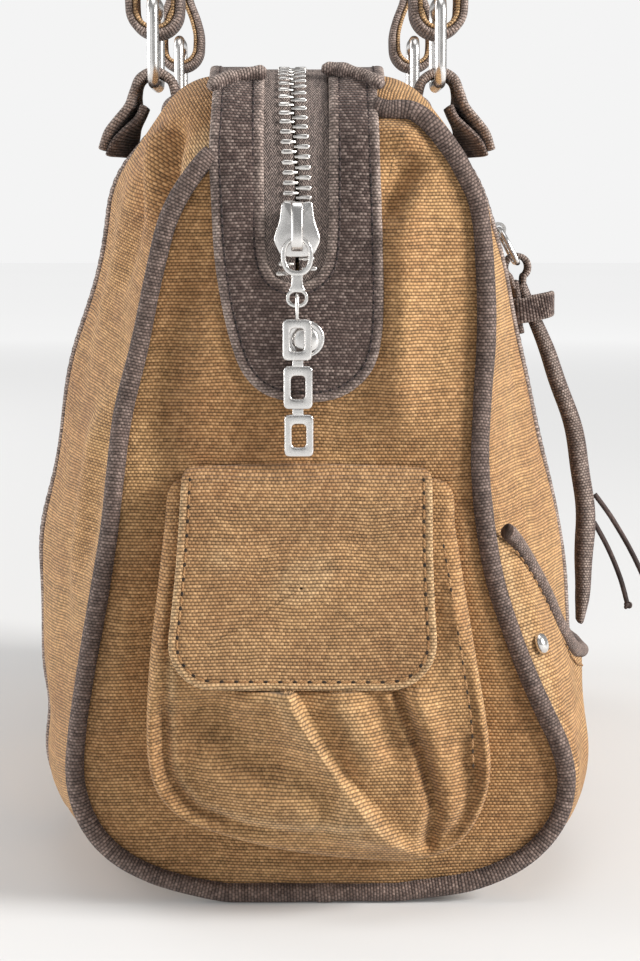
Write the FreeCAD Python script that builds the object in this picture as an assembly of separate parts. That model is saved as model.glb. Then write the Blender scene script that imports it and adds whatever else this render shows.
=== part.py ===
import FreeCAD, Part
import math
import os

# Canvas satchel with a long top zip, an end pocket at each end, a scooped front pocket and two
# handles on metal rings. Millimetres. +X runs along the bag, -Y is its front, +Z is up, and the
# origin is the middle of the base, on the surface it stands on.

V = FreeCAD.Vector

# ---- driving dimensions -------------------------------------------------------------------
HALF_LENGTH = 175.0          # end panels stand at x = -175 and +175
STRAIGHT = 100.0             # the middle keeps one cross-section for |x| up to this
TOP = 254.0                  # height of the zip line
SHOULDER_R = 28.0            # the zip rolls over each end on this radius
HEEL_R = 8.0                 # rounding of the lower end edges
WALL = 2.0                   # canvas with its interlining
LINING = 0.8
SEAM_Z = 14.0                # base panel seam
SLOT = 9.0                   # half width of the zip opening
SLOT_FOOT = 178.0            # where the opening ends on each end panel

# Cross-section corners (y, z, rounding radius), anticlockwise from the back foot. The belly is
# the straight middle, the end is the shape of the end panels.
BELLY = [(84, 0, 34), (86, 105, 90), (60, 222, 40), (34, 254, 20),
         (-34, 254, 20), (-60, 222, 40), (-91, 95, 90), (-92, 0, 34)]
END = [(80, 0, 36), (54, 118, 150), (46, 215, 30), (20, 254, 14),
       (-20, 254, 14), (-48, 217, 30), (-56, 118, 150), (-88, 0, 36)]
STATIONS = (100.0, 114.0, 130.0, 146.0, 160.0, 172.0, 184.0)
TAPER = 1.6                  # how late the ends close in

PIPING_R = 2.5
TAB_T = 2.0                  # zip tab thickness
TAB_HALF = 26.0
TAB_FOOT = 154.0
TAPE_T = 1.0
TOOTH_PITCH = 3.0
TOOTH_GAP = 0.4              # half the gap between the two rows

RING_X = 85.0                # handle rings, bands and chapes stand at x = -85 and +85
RING_Y = 47.0
RING_FOOT = 253.5            # axis of the ring's lower bar
RING_RISE = 27.0             # lower bar to upper bar
RING_HALF = 17.0
RING_CORNER = 5.0
WIRE_R = 2.0
STRAP_HALF = 11.0            # half width of bands, chapes and handle straps

HANDLE_TOP = 416.0
HANDLE_FOOT = 298.0
HANDLE_LEAN = 19.0
HANDLE_R = 55.0

POCKET_HALF_TOP = 43.0
POCKET_HALF_FOOT = 52.0
FLAP_HALF = 43.0
FLAP_TOP = 133.0               # the flap hinges on this seam
POCKET_TOP = 126.0

ZIP_Z = 204.0                # front zip height
ZIP_HALF = 70.0
FRONT_SLIDER_X = -62.0
PULL_HALF = 6.0              # half width of the fabric pull


# ---- outlines -----------------------------------------------------------------------------
def shifted(corners, grow):
    """The polygon with every side moved outwards by grow; convex radii grow with it."""
    count = len(corners)
    lines = []
    for i in range(count):
        ay, az = corners[i][0], corners[i][1]
        by, bz = corners[(i + 1) % count][0], corners[(i + 1) % count][1]
        run = math.hypot(by - ay, bz - az)
        ny, nz = (bz - az) / run, -(by - ay) / run
        lines.append((ay + ny * grow, az + nz * grow, (by - ay) / run, (bz - az) / run))
    result = []
    for i in range(count):
        py, pz, dy, dz = lines[i - 1]
        qy, qz, ey, ez = lines[i]
        cross = dy * ez - dz * ey
        if abs(cross) < 1e-6:
            result.append((qy, qz, corners[i][2]))
            continue
        s = ((qy - py) * ez - (qz - pz) * ey) / cross
        radius = corners[i][2] + (grow if cross > 0 else -grow)
        result.append((py + dy * s, pz + dz * s, max(radius, 0.5)))
    return result


def corner_arc(before, corner, after, radius):
    """Tangent points and middle of the rounding at a corner."""
    a = (before - corner).normalize()
    b = (after - corner).normalize()
    half = a.getAngle(b) / 2.0
    if half > math.pi / 2.0 - 1e-4:
        return corner, corner, corner
    reach = radius / math.tan(half)
    middle = (a + b).normalize() * (radius / math.sin(half) - radius)
    return corner + a * reach, corner + middle, corner + b * reach


def rounded_edges(points, radii, closed=True):
    """Lines and arcs through rounded corners."""
    count = len(points)
    arcs = []
    for i in range(count):
        if closed or 0 < i < count - 1:
            arcs.append(corner_arc(points[i - 1], points[i], points[(i + 1) % count], radii[i]))
        else:
            arcs.append((points[i], points[i], points[i]))
    edges = []
    for i in range(count):
        start, middle, end = arcs[i]
        if start.distanceToPoint(end) > 1e-4:
            edges.append(Part.Arc(start, middle, end).toShape())
        if i < count - 1 or closed:
            following = arcs[(i + 1) % count][0]
            if end.distanceToPoint(following) > 1e-4:
                edges.append(Part.LineSegment(end, following).toShape())
    return edges


def plate(corners, plane, low, high):
    """A rounded flat outline, (u, v, radius) per corner, extruded between two planes."""
    place = {"x": lambda u, v: V(low, u, v),
             "y": lambda u, v: V(u, low, v),
             "z": lambda u, v: V(u, v, low)}[plane]
    along = {"x": V(high - low, 0, 0), "y": V(0, high - low, 0), "z": V(0, 0, high - low)}[plane]
    points = [place(c[0], c[1]) for c in corners]
    wire = Part.Wire(rounded_edges(points, [c[2] for c in corners]))
    return Part.Face(wire).extrude(along)


def block(x0, x1, y0, y1, z0, z1):
    return Part.makeBox(x1 - x0, y1 - y0, z1 - z0, V(x0, y0, z0))


def tube(start, end, radius):
    return Part.makeCylinder(radius, start.distanceToPoint(end), start, end - start)


def mirrored(shape, normal):
    return shape.mirror(V(0, 0, 0), normal)


# ---- the bag's envelope -------------------------------------------------------------------
def section_corners(x):
    share = 0.0
    if abs(x) > STRAIGHT:
        share = ((abs(x) - STRAIGHT) / (HALF_LENGTH - STRAIGHT)) ** TAPER
    corners = []
    for belly, end in zip(BELLY, END):
        corners.append(tuple(b + (e - b) * share for b, e in zip(belly, end)))
    return corners


def side_points(corners, first, count=15):
    """Even steps along one rounded side of a section, from the foot flat to the top flat."""
    chain = [corners[(first + i) % 8] for i in range(-1, 5)]
    points = [V(0, c[0], c[1]) for c in chain]
    edges = []
    last = None
    for i in range(1, 5):
        start, middle, end = corner_arc(points[i - 1], points[i], points[i + 1], chain[i][2])
        if last is not None and last.distanceToPoint(start) > 1e-4:
            edges.append(Part.LineSegment(last, start).toShape())
        if start.distanceToPoint(end) > 1e-4:
            edges.append(Part.Arc(start, middle, end).toShape())
        last = end
    return Part.Wire(edges).discretize(count)


def section_wire(x, grow):
    corners = shifted(section_corners(x), grow)
    steps = [i / 14.0 for i in range(15)]
    sides = []
    for first in (0, 4):
        points = [V(x, p.y, p.z) for p in side_points(corners, first)]
        curve = Part.BSplineCurve()
        curve.interpolate(Points=points, Parameters=steps)
        sides.append((curve.toShape(), points[0], points[-1]))
    back, front = sides
    over = Part.LineSegment(back[2], front[1]).toShape()
    under = Part.LineSegment(front[2], back[1]).toShape()
    return Part.Wire([back[0], over, front[0], under])


def side_profile(grow):
    """The bag seen from the front: a rectangle with rolled shoulders and rounded heels."""
    x = HALF_LENGTH + grow
    top = SHOULDER_R + grow
    heel = HEEL_R + grow
    outline = [(-x, -grow, heel), (x, -grow, heel), (x, TOP + grow, top), (-x, TOP + grow, top)]
    return plate(outline, "y", -160.0, 160.0)


ENVELOPES = {}


def envelope(grow):
    """The bag's outside, moved outwards by grow."""
    if grow not in ENVELOPES:
        middle = Part.Face(section_wire(STRAIGHT, grow)).extrude(V(-2 * STRAIGHT, 0, 0))
        end = Part.makeLoft([section_wire(x, grow) for x in STATIONS], True, False)
        whole = middle.fuse([end, mirrored(end, V(1, 0, 0))])
        ENVELOPES[grow] = whole.common(side_profile(grow)).removeSplitter()
    return ENVELOPES[grow]


def layer(low, high, region):
    """The part of a skin between two offsets of the envelope that lies in a region."""
    return envelope(high).common(region).cut(envelope(low))


def skin_y(x, z, grow=0.0, side=-1):
    """Where the envelope's front (-1) or back (1) face stands at a given x and z."""
    probe = Part.makeLine(V(x, 0, z), V(x, side * 200.0, z))
    inside = envelope(grow).common(probe)
    box = inside.BoundBox
    return box.YMin if side < 0 else box.YMax


# ---- soft body ----------------------------------------------------------------------------
def slot_region():
    return block(-200, 200, -SLOT, SLOT, SLOT_FOOT, 300)


def make_panels(parts):
    skin = envelope(0.0).cut(envelope(-WALL)).cut(slot_region())
    inner = HALF_LENGTH - WALL
    front_slot = ZIP_FRAME.box(-ZIP_HALF + 4, ZIP_HALF - 4, -5.0, 5.0, -6.0, 2.0)
    parts["front_panel"] = skin.common(block(-inner, inner, -200, 0, SEAM_Z, 300)).cut(front_slot)
    parts["back_panel"] = skin.common(block(-inner, inner, 0, 200, SEAM_Z, 300))
    parts["base_panel"] = skin.common(block(-inner, inner, -200, 200, -1, SEAM_Z))
    parts["left_end_panel"] = skin.common(block(-200, -inner, -200, 200, -1, 300))
    parts["right_end_panel"] = skin.common(block(inner, 200, -200, 200, -1, 300))
    lining = envelope(-WALL).cut(envelope(-WALL - LINING)).cut(slot_region())
    parts["lining"] = lining.cut(front_slot)
    foot = WALL + LINING
    board = [(-150, -44, 20), (150, -44, 20), (150, 40, 20), (-150, 40, 20)]
    parts["base_board"] = plate(board, "z", foot, foot + 2.0)


def make_piping(parts):
    """A corded edge round each end panel, just outside its outline."""
    corners = shifted([tuple(c) for c in END], 1.6)
    foot = PIPING_R
    outline = []
    for y, z, radius in corners:
        outline.append((y, foot if z < foot else min(z, TOP - 3.0), radius))
    points = [V(-HALF_LENGTH, c[0], c[1]) for c in outline]
    path = Part.Wire(rounded_edges(points, [c[2] for c in outline]))
    start = path.OrderedEdges[0].valueAt(path.OrderedEdges[0].FirstParameter)
    heading = path.OrderedEdges[0].tangentAt(path.OrderedEdges[0].FirstParameter)
    ring = Part.Wire(Part.Circle(start, heading, PIPING_R).toShape())
    bead = path.makePipeShell([ring], True, False)
    bead = bead.cut(block(-200, 0, -27, 27, 200, 300))
    bead = bead.cut(envelope(0.0))
    parts["left_piping"] = bead
    parts["right_piping"] = mirrored(bead, V(1, 0, 0))


def tab_outline(grow, foot, radius):
    return [(-grow, foot, radius), (grow, foot, radius), (grow, 280.0, 1.0), (-grow, 280.0, 1.0)]


def make_zip_surround(parts):
    """U-shaped tabs at both ends, and the facings that run along the zip over the top."""
    turn = math.radians(55)
    meet = HALF_LENGTH - SHOULDER_R + SHOULDER_R * math.cos(turn)
    region = plate(tab_outline(TAB_HALF, TAB_FOOT, 17.0), "x", -200.0, -meet)
    region = region.cut(plate(tab_outline(SLOT, 190.0, 8.9), "x", -200.0, 0.0))
    tab = layer(0.0, TAB_T, region)
    parts["left_zip_tab"] = tab
    parts["right_zip_tab"] = mirrored(tab, V(1, 0, 0))
    crown = TOP - SHOULDER_R + (SHOULDER_R + 1.4) * math.sin(turn)
    for side, sign in (("front", -1), ("back", 1)):
        low, high = sorted((sign * 27.0, sign * SLOT))
        facing = layer(0.0, 1.2, block(-meet + 0.2, meet - 0.2, low, high, 235, 300))
        roll = tube(V(-meet - 0.2, sign * (SLOT + 0.5), crown),
                    V(-meet + 2.3, sign * 26.0, crown - 5.5), 1.8)
        for turned in (roll, mirrored(roll, V(1, 0, 0))):
            facing = facing.fuse(turned.cut(envelope(0.0)))
        facing = facing.cut([parts["left_zip_tab"], parts["right_zip_tab"]])
        parts[side + "_top_facing"] = facing


def zip_path():
    """Positions and directions of the teeth along the main zip."""
    arc = SHOULDER_R * math.pi / 2.0
    rise = TOP - SHOULDER_R - 191.0
    flat = 2 * (HALF_LENGTH - SHOULDER_R)
    total = 2 * rise + 2 * arc + flat
    count = int(total / TOOTH_PITCH)
    for i in range(count):
        s = (i + 0.5) * total / count
        side = -1
        if s > total / 2:
            s = total - s
            side = 1
        if s < rise:
            place, turn = (HALF_LENGTH, 191.0 + s), 0.0
        elif s < rise + arc:
            turn = (s - rise) / SHOULDER_R
            place = (HALF_LENGTH - SHOULDER_R + SHOULDER_R * math.cos(turn),
                     TOP - SHOULDER_R + SHOULDER_R * math.sin(turn))
        else:
            turn = math.pi / 2.0
            place = (HALF_LENGTH - SHOULDER_R - (s - rise - arc), TOP)
        yield side, place, turn


def make_main_zip(parts):
    band = side_profile(0.0).cut(side_profile(-TAPE_T))
    tape = band.common(block(-200, 200, TOOTH_GAP, SLOT, SLOT_FOOT, 300))
    parts["main_zip_tape_back"] = tape
    parts["main_zip_tape_front"] = mirrored(tape, V(0, 1, 0))
    rows = {"back": [], "front": []}
    for side, place, turn in zip_path():
        for name, shift in (("back", 0.0), ("front", TOOTH_PITCH / 2)):
            low = TOOTH_GAP if name == "back" else -TOOTH_GAP - 3.2
            tooth = block(0.0, 1.6, low, low + 3.2, -0.9, 0.9)
            tooth.rotate(V(0, 0, 0), V(0, 1, 0), -math.degrees(turn))
            tooth.translate(V(place[0], 0, place[1]))
            if side < 0:
                tooth = mirrored(tooth, V(1, 0, 0))
            rows[name].append(tooth)
    for name, teeth in rows.items():
        parts["main_zip_teeth_" + name] = Part.makeCompound(teeth)


def make_tab_discs(parts):
    face = -HALF_LENGTH - TAB_T
    disc = tube(V(face, -2.4, 173), V(face - 0.9, -2.4, 173), 6.0)
    disc = disc.fuse(tube(V(face, -2.4, 173), V(face - 1.4, -2.4, 173), 3.6))
    parts["left_tab_disc"] = disc.removeSplitter()
    parts["right_tab_disc"] = mirrored(parts["left_tab_disc"], V(1, 0, 0))


# ---- slider, puller and tag ---------------------------------------------------------------
def make_main_slider(parts):
    """Nose up, closed: two plates joined by a bridge that runs between the rows of teeth."""
    out = -HALF_LENGTH
    wings = [(-3.9, 214, 1.5), (-7.1, 203, 2.0), (-4.6, 197.6, 1.5),
             (4.6, 197.6, 1.5), (7.1, 203, 2.0), (3.9, 214, 1.5)]
    body = plate(wings, "x", out - 4.4, out - 2.2)
    for side in (-1, 1):
        body = body.fuse(block(out - 2.3, out - 0.4, min(side * 4.1, side * 5.2),
                               max(side * 4.1, side * 5.2), 199.5, 206.5))
    body = body.fuse(plate([(-5.5, 198.5, 2), (5.5, 198.5, 2), (4, 212, 2), (-4, 212, 2)],
                           "x", out + 1.5, out + 2.8))
    body = body.fuse(block(out - 2.4, out + 1.6, -0.2, 0.2, 200, 211))
    eye = plate([(out - 4.3, 199.4, 1), (out - 4.3, 209.0, 1), (out - 8.0, 207.5, 1.6),
                 (out - 8.0, 200.2, 1.6)], "y", -1.6, 1.6)
    eye = eye.cut(plate([(out - 4.2, 201.0, 0.8), (out - 4.2, 206.4, 0.8), (out - 6.8, 206.0, 0.9),
                         (out - 6.8, 201.2, 0.9)], "y", -2.0, 2.0))
    parts["main_slider"] = body.fuse(eye).removeSplitter()


PULL_PIVOT = V(-HALF_LENGTH - 5.45, 0, 202.75)


def flat_ring(centre, half_y, half_z, wall, thick, radius):
    """A flat loop standing in the YZ plane."""
    x, z = centre
    outer = [(-half_y, z - half_z, radius), (half_y, z - half_z, radius),
             (half_y, z + half_z, radius), (-half_y, z + half_z, radius)]
    y_in, z_in, r_in = half_y - wall, half_z - wall, radius - wall
    inner = [(-y_in, z - z_in, r_in), (y_in, z - z_in, r_in),
             (y_in, z + z_in, r_in), (-y_in, z + z_in, r_in)]
    loop = plate(outer, "x", x - thick / 2, x + thick / 2)
    return loop.cut(plate(inner, "x", x - thick, x + thick))


def make_puller(parts):
    x = PULL_PIVOT.x
    loop = flat_ring((x, 197.6), 4.9, 5.9, 1.5, 1.5, 4.6)
    neck = block(x - 0.75, x + 0.75, -1.9, 1.9, 187.6, 192.5)
    eye = flat_ring((x, 185.4), 3.4, 2.8, 1.1, 1.2, 2.6)
    parts["main_puller"] = loop.fuse([neck, eye]).removeSplitter()


def make_tag(parts):
    """Three pierced plates in line, joined by narrow necks, on a small top link."""
    x = PULL_PIVOT.x
    link_outer = [(x - 2.2, 178.6, 1.2), (x + 2.2, 178.6, 1.2),
                  (x + 2.2, 186.8, 2.0), (x - 2.2, 186.8, 2.0)]
    link_inner = [(x - 1.2, 179.8, 0.8), (x + 1.2, 179.8, 0.8),
                  (x + 1.2, 185.7, 1.1), (x - 1.2, 185.7, 1.1)]
    link = plate(link_outer, "y", -0.9, 0.9).cut(plate(link_inner, "y", -2, 2))
    shapes = [link]
    for top, low in ((179.1, 166.8), (165.3, 152.3), (150.8, 138.0)):
        outline = [(-4.4, low, 1.0), (4.4, low, 1.0), (4.4, top, 1.0), (-4.4, top, 1.0)]
        sheet = plate(outline, "x", x - 0.9, x + 0.9)
        middle = (top + low) / 2
        window = [(-2.2, middle - 3.2, 1.2), (2.2, middle - 3.2, 1.2),
                  (2.2, middle + 3.2, 1.2), (-2.2, middle + 3.2, 1.2)]
        shapes.append(sheet.cut(plate(window, "x", x - 2, x + 2)))
    for low, high in ((164.9, 167.2), (150.4, 152.7)):
        shapes.append(block(x - 0.6, x + 0.6, -1.7, 1.7, low, high))
    parts["main_tag"] = shapes[0].fuse(shapes[1:]).removeSplitter()


# ---- end pockets --------------------------------------------------------------------------
def pocket_face(z, depth):
    """X of the left pocket's sloping front wall, moved out by depth."""
    return -HALF_LENGTH - 24 + 18.5 * (z - 34) / (POCKET_TOP - 34) - depth


def make_end_pockets(parts):
    out = -HALF_LENGTH
    front = [(-POCKET_HALF_FOOT, 15, 24), (POCKET_HALF_FOOT, 15, 24),
             (POCKET_HALF_TOP, POCKET_TOP, 1), (-POCKET_HALF_TOP, POCKET_TOP, 1)]
    side = [(out, 15, 0.5), (out - 18, 15, 7), (out - 24, 34, 12),
            (pocket_face(POCKET_TOP, 0), POCKET_TOP, 0.5), (out, POCKET_TOP, 0.5)]
    mouth = POCKET_TOP + 2
    hollow_front = shifted(front, -WALL)[:2]
    hollow_front += [(POCKET_HALF_TOP - WALL, mouth, 1), (-POCKET_HALF_TOP + WALL, mouth, 1)]
    hollow_side = [(out + 1, 17, 0.5), (out - 16.6, 17, 5), (out - 22.2, 34, 10),
                   (pocket_face(mouth, -1.8), mouth, 0.5), (out + 1, mouth, 0.5)]
    body = plate(front, "x", out - 30, out).common(plate(side, "y", -60, 60))
    hollow = plate(hollow_front, "x", out - 30, out + 1).common(plate(hollow_side, "y", -60, 60))
    body = body.cut(hollow)
    flap_foot = 68.0
    shoulder = POCKET_TOP + 0.6
    flap_side = [(out - 0.3, FLAP_TOP, 0.3), (out - 0.3, FLAP_TOP - 2.6, 0.3),
                 (pocket_face(shoulder, 1.0), shoulder, 2.0),
                 (pocket_face(flap_foot, 1.6), flap_foot, 0.6),
                 (pocket_face(flap_foot, 3.6), flap_foot, 0.6),
                 (pocket_face(shoulder, 3.0), shoulder + 0.6, 4.0)]
    flap_front = [(-FLAP_HALF, flap_foot, 14), (FLAP_HALF, flap_foot, 14),
                  (FLAP_HALF - 3, 140, 4), (-FLAP_HALF + 3, 140, 4)]
    flap = plate(flap_side, "y", -60, 60).common(plate(flap_front, "x", out - 30, out))
    outwards = V(-0.98, 0, 0.197).normalize()
    seat = V(pocket_face(82, 0), 0, 82)
    socket = tube(seat - outwards * 1.0, seat + outwards * 0.6, 5.0).cut(body)
    socket = sorted(socket.Solids, key=lambda s: s.CenterOfMass.x)[0]
    stud = tube(seat + outwards * 1.0, seat + outwards * 2.0, 4.2).cut(flap)
    stud = sorted(stud.Solids, key=lambda s: s.CenterOfMass.x)[-1]
    made = {"pocket_body": body, "pocket_flap": flap, "snap_socket": socket, "snap_stud": stud}
    for name, shape in made.items():
        parts["left_" + name] = shape
        parts["right_" + name] = mirrored(shape, V(1, 0, 0))


# ---- front pocket -------------------------------------------------------------------------
def scoop(rise, foot, reach):
    """Front pocket outline in the XZ plane, its mouth scooped down in the middle."""
    return [(-reach, foot, 1), (reach, foot, 1), (reach, 114 + rise, 1), (156, 106 + rise, 12),
            (138, 74 + rise, 24), (100, 63 + rise, 60), (0, 61 + rise, 400), (-100, 63 + rise, 60),
            (-138, 74 + rise, 24), (-156, 106 + rise, 12), (-reach, 114 + rise, 1)]


def make_front_pocket(parts):
    field = plate(scoop(0, 10, 167), "y", -200, -20)
    hollow = plate(scoop(40, 15, 161), "y", -200, -20)
    panel = layer(3.0, 5.0, field)
    rim = layer(0.0, 3.0, field.cut(hollow))
    pocket = panel.fuse(rim)
    bands = [parts["front_left_band"], parts["front_right_band"]]
    parts["front_pocket"] = pocket.cut(bands).removeSplitter()
    edge = plate(scoop(4, 40, 167), "y", -200, -20).cut(field)
    edge = edge.common(block(-167, 167, -200, -20, 50, 130))
    piping = layer(2.6, 6.6, edge)
    parts["front_pocket_piping"] = piping
    rivets = []
    for x in (-161, 161):
        y = skin_y(x, 77, 5.0)
        rivets.append(tube(V(x, y + 1.0, 77), V(x, y - 1.8, 77), 3.4).cut(envelope(5.0)))
    parts["front_pocket_rivets"] = Part.makeCompound(rivets)


# ---- handle hardware ----------------------------------------------------------------------
def make_bands(parts):
    """Dark canvas bands from each chape down to the foot of the panel."""
    for side, sign in (("front", -1), ("back", 1)):
        for end, x in (("left", -RING_X), ("right", RING_X)):
            low, high = sorted((sign * 30.0, sign * 200.0))
            region = block(x - STRAP_HALF - 1, x + STRAP_HALF + 1, low, high, SEAM_Z, 246)
            parts[side + "_" + end + "_band"] = layer(0.0, 1.5, region)


def make_chape(parts, side, sign, end, x):
    """A folded strap that holds the ring's lower bar, with its sewn end standing out."""
    centre_y, centre_z = sign * RING_Y, 251.0
    a, b = x - STRAP_HALF, x + STRAP_HALF
    loop = tube(V(a, centre_y, centre_z), V(b, centre_y, centre_z), 7.7)
    foot = [(sign * (RING_Y - 7.6), centre_z, 0.1), (sign * (RING_Y + 7.6), centre_z, 0.1),
            (sign * (RING_Y + 14.8), 240, 1.5), (sign * (RING_Y + 11), 230, 1.5),
            (sign * (RING_Y - 2), 226, 1)]
    if sign < 0:
        foot = foot[::-1]
    chape = loop.fuse(plate(foot, "x", a, b))
    chape = chape.cut(tube(V(a - 1, centre_y, centre_z), V(b + 1, centre_y, centre_z), 5.2))
    chape = chape.cut(envelope(0.0)).cut(parts[side + "_" + end + "_band"])
    solids = sorted(chape.Solids, key=lambda s: s.Volume)
    parts[side + "_" + end + "_chape"] = solids[-1]


def make_ring(parts, side, sign, end, x):
    """A rectangular wire ring standing in the XZ plane."""
    y = sign * RING_Y
    low, high = RING_FOOT, RING_FOOT + RING_RISE
    corners = [V(x - RING_HALF, y, low), V(x + RING_HALF, y, low),
               V(x + RING_HALF, y, high), V(x - RING_HALF, y, high)]
    path = Part.Wire(rounded_edges(corners, [RING_CORNER] * 4))
    edge = path.OrderedEdges[0]
    start = edge.valueAt(edge.FirstParameter)
    heading = edge.tangentAt(edge.FirstParameter)
    wire = Part.Wire(Part.Circle(start, heading, WIRE_R).toShape())
    parts[side + "_" + end + "_ring"] = path.makePipeShell([wire], True, False)


def arch(half_width, y0, y1):
    """The handle's arch as an even band, seen from the front, between two depths."""
    spine = [V(-RING_X, 0, HANDLE_FOOT), V(-RING_X + HANDLE_LEAN, 0, HANDLE_TOP),
             V(RING_X - HANDLE_LEAN, 0, HANDLE_TOP), V(RING_X, 0, HANDLE_FOOT)]
    wires = []
    for grow in (-half_width, half_width):
        lean = math.atan2(HANDLE_LEAN, HANDLE_TOP - HANDLE_FOOT)
        aside = V(-math.cos(lean), 0, math.sin(lean)) * grow
        corner = grow / math.cos(lean) * (1 - math.sin(lean))
        points = [spine[0] + aside, V(spine[1].x - corner, 0, HANDLE_TOP + grow),
                  V(spine[2].x + corner, 0, HANDLE_TOP + grow),
                  V(-(spine[0] + aside).x, 0, (spine[0] + aside).z)]
        wires.append(rounded_edges(points, [0, HANDLE_R + grow, HANDLE_R + grow, 0], False))
    inner, outer = wires
    feet = []
    for index in (0, -1):
        a = Part.Wire(inner).OrderedVertexes[index].Point
        b = Part.Wire(outer).OrderedVertexes[index].Point
        feet.append(Part.LineSegment(a, b).toShape())
    face = Part.Face(Part.Wire(Part.__sortEdges__(inner + outer + feet)))
    band = face.extrude(V(0, y1 - y0, 0))
    band.translate(V(0, y0, 0))
    return band


def make_handle(parts, side, sign):
    """A doubled strap with a lining between, folded round the upper bar of each ring."""
    y = sign * RING_Y
    outer = arch(STRAP_HALF, y - 4.5, y - 1.5).fuse(arch(STRAP_HALF, y + 1.5, y + 4.5))
    for x in (-RING_X, RING_X):
        a, b = x - STRAP_HALF, x + STRAP_HALF
        loop = tube(V(a, y, 278), V(b, y, 278), 10.0)
        loop = loop.fuse(plate([(y - 10, 278, 0.1), (y + 10, 278, 0.1), (y + 10, 287, 6),
                                (y + 4.5, 301, 6), (y - 4.5, 301, 6), (y - 10, 287, 6)],
                               "x", a, b))
        loop = loop.cut(tube(V(a - 1, y, 278), V(b + 1, y, 278), 6.5))
        loop = loop.cut(plate([(y - 6.5, 278, 0.1), (y + 6.5, 278, 0.1), (y + 6.5, 285, 5),
                               (y + 1.5, 298.5, 0.5), (y + 1.5, 304, 0.1), (y - 1.5, 304, 0.1),
                               (y - 1.5, 298.5, 0.5), (y - 6.5, 285, 5)], "x", a - 1, b + 1))
        outer = outer.fuse(loop)
    parts[side + "_handle_strap"] = outer.removeSplitter()
    parts[side + "_handle_lining"] = arch(STRAP_HALF - 1.0, y - 1.5, y + 1.5)


# ---- front zip and its fabric pull --------------------------------------------------------
class SlopeFrame:
    """A frame on the leaning front face: x along the bag, t up the slope, n outwards."""

    def __init__(self, z):
        low, high = skin_y(0, z - 9), skin_y(0, z + 9)
        self.origin = V(0, skin_y(0, z), z)
        self.t = V(0, high - low, 18).normalize()
        self.n = V(0, -self.t.z, self.t.y)

    def point(self, x, t, n):
        return V(x, 0, 0) + self.origin + self.t * t + self.n * n

    def box(self, x0, x1, t0, t1, n0, n1):
        a = self.point(x0, t0, n0)
        corners = [a, self.point(x0, t1, n0), self.point(x0, t1, n1), self.point(x0, t0, n1), a]
        return Part.Face(Part.makePolygon(corners)).extrude(V(x1 - x0, 0, 0))


def make_front_zip(parts):
    frame = ZIP_FRAME
    tape = frame.box(-ZIP_HALF, ZIP_HALF, -11, 11, -0.5, 1.0).cut(envelope(0.0))
    parts["front_zip_tape"] = sorted(tape.Solids, key=lambda s: s.Volume)[-1]
    teeth = []
    count = int(2 * (ZIP_HALF - 4) / 2.5)
    for i in range(count):
        x = -ZIP_HALF + 4 + i * 2.5
        teeth.append(frame.box(x, x + 1.4, 0.3, 2.6, 1.0, 2.4))
        teeth.append(frame.box(x + 1.25, x + 2.65, -2.6, -0.3, 1.0, 2.4))
    parts["front_zip_teeth"] = Part.makeCompound(teeth)
    x = FRONT_SLIDER_X
    slider = frame.box(x - 6, x + 6, -5, 5, 2.7, 4.5)
    slider = slider.fuse([frame.box(x - 6, x + 6, 3.1, 5, 1.3, 2.8),
                          frame.box(x - 6, x + 6, -5, -3.1, 1.3, 2.8)])
    eye = tube(frame.point(x - 1.5, 0, 5.4), frame.point(x + 1.5, 0, 5.4), 2.6)
    eye = eye.fuse(frame.box(x - 1.5, x + 1.5, -2.6, 2.6, 4.4, 5.4))
    eye = eye.cut(tube(frame.point(x - 2, 0, 5.7), frame.point(x + 2, 0, 5.7), 1.4))
    parts["front_zip_slider"] = slider.fuse(eye).removeSplitter()


def pull_points():
    """Middle line of the fabric pull, from the ring down to its tip, as (y, z)."""
    return [(FRONT_RING_FOOT.y - 1.0, FRONT_RING_FOOT.z - 6), (-82.5, 175), (-89.0, 158),
            (-95.5, 140), (-99.6, 120), (-101.2, 102), (-100.6, 84), (-99.8, 68)]


def make_front_ring(parts):
    x = FRONT_SLIDER_X
    top, foot = FRONT_RING_AXIS, FRONT_RING_FOOT
    corners = [V(x - 7.5, top.y, top.z), V(x - 7.5, foot.y, foot.z),
               V(x + 7.5, foot.y, foot.z), V(x + 7.5, top.y, top.z)]
    path = Part.Wire(rounded_edges(corners, [6.0, 2.5, 2.5, 6.0]))
    edge = path.OrderedEdges[0]
    start = edge.valueAt(edge.FirstParameter)
    wire = Part.Wire(Part.Circle(start, edge.tangentAt(edge.FirstParameter), 0.9).toShape())
    parts["front_zip_ring"] = path.makePipeShell([wire], True, False)


def ribbon(points, half, x0, x1):
    """A strip of even thickness along a smooth middle line in the YZ plane."""
    curve = Part.BSplineCurve()
    curve.interpolate([V(0, y, z) for y, z in points])
    sides = []
    for sign in (-1, 1):
        line = []
        for i in range(13):
            u = curve.FirstParameter + (curve.LastParameter - curve.FirstParameter) * i / 12.0
            tangent = curve.tangent(u)[0]
            line.append(curve.value(u) + V(0, -tangent.z, tangent.y) * (half * sign))
        side = Part.BSplineCurve()
        side.interpolate(line)
        sides.append((side.toShape(), line[0], line[-1]))
    (a, a0, a1), (b, b0, b1) = sides
    ends = [Part.LineSegment(a0, b0).toShape(), Part.LineSegment(a1, b1).toShape()]
    face = Part.Face(Part.Wire(Part.__sortEdges__([a, b] + ends)))
    strip = face.extrude(V(x1 - x0, 0, 0))
    strip.translate(V(x0, 0, 0))
    return strip


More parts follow.
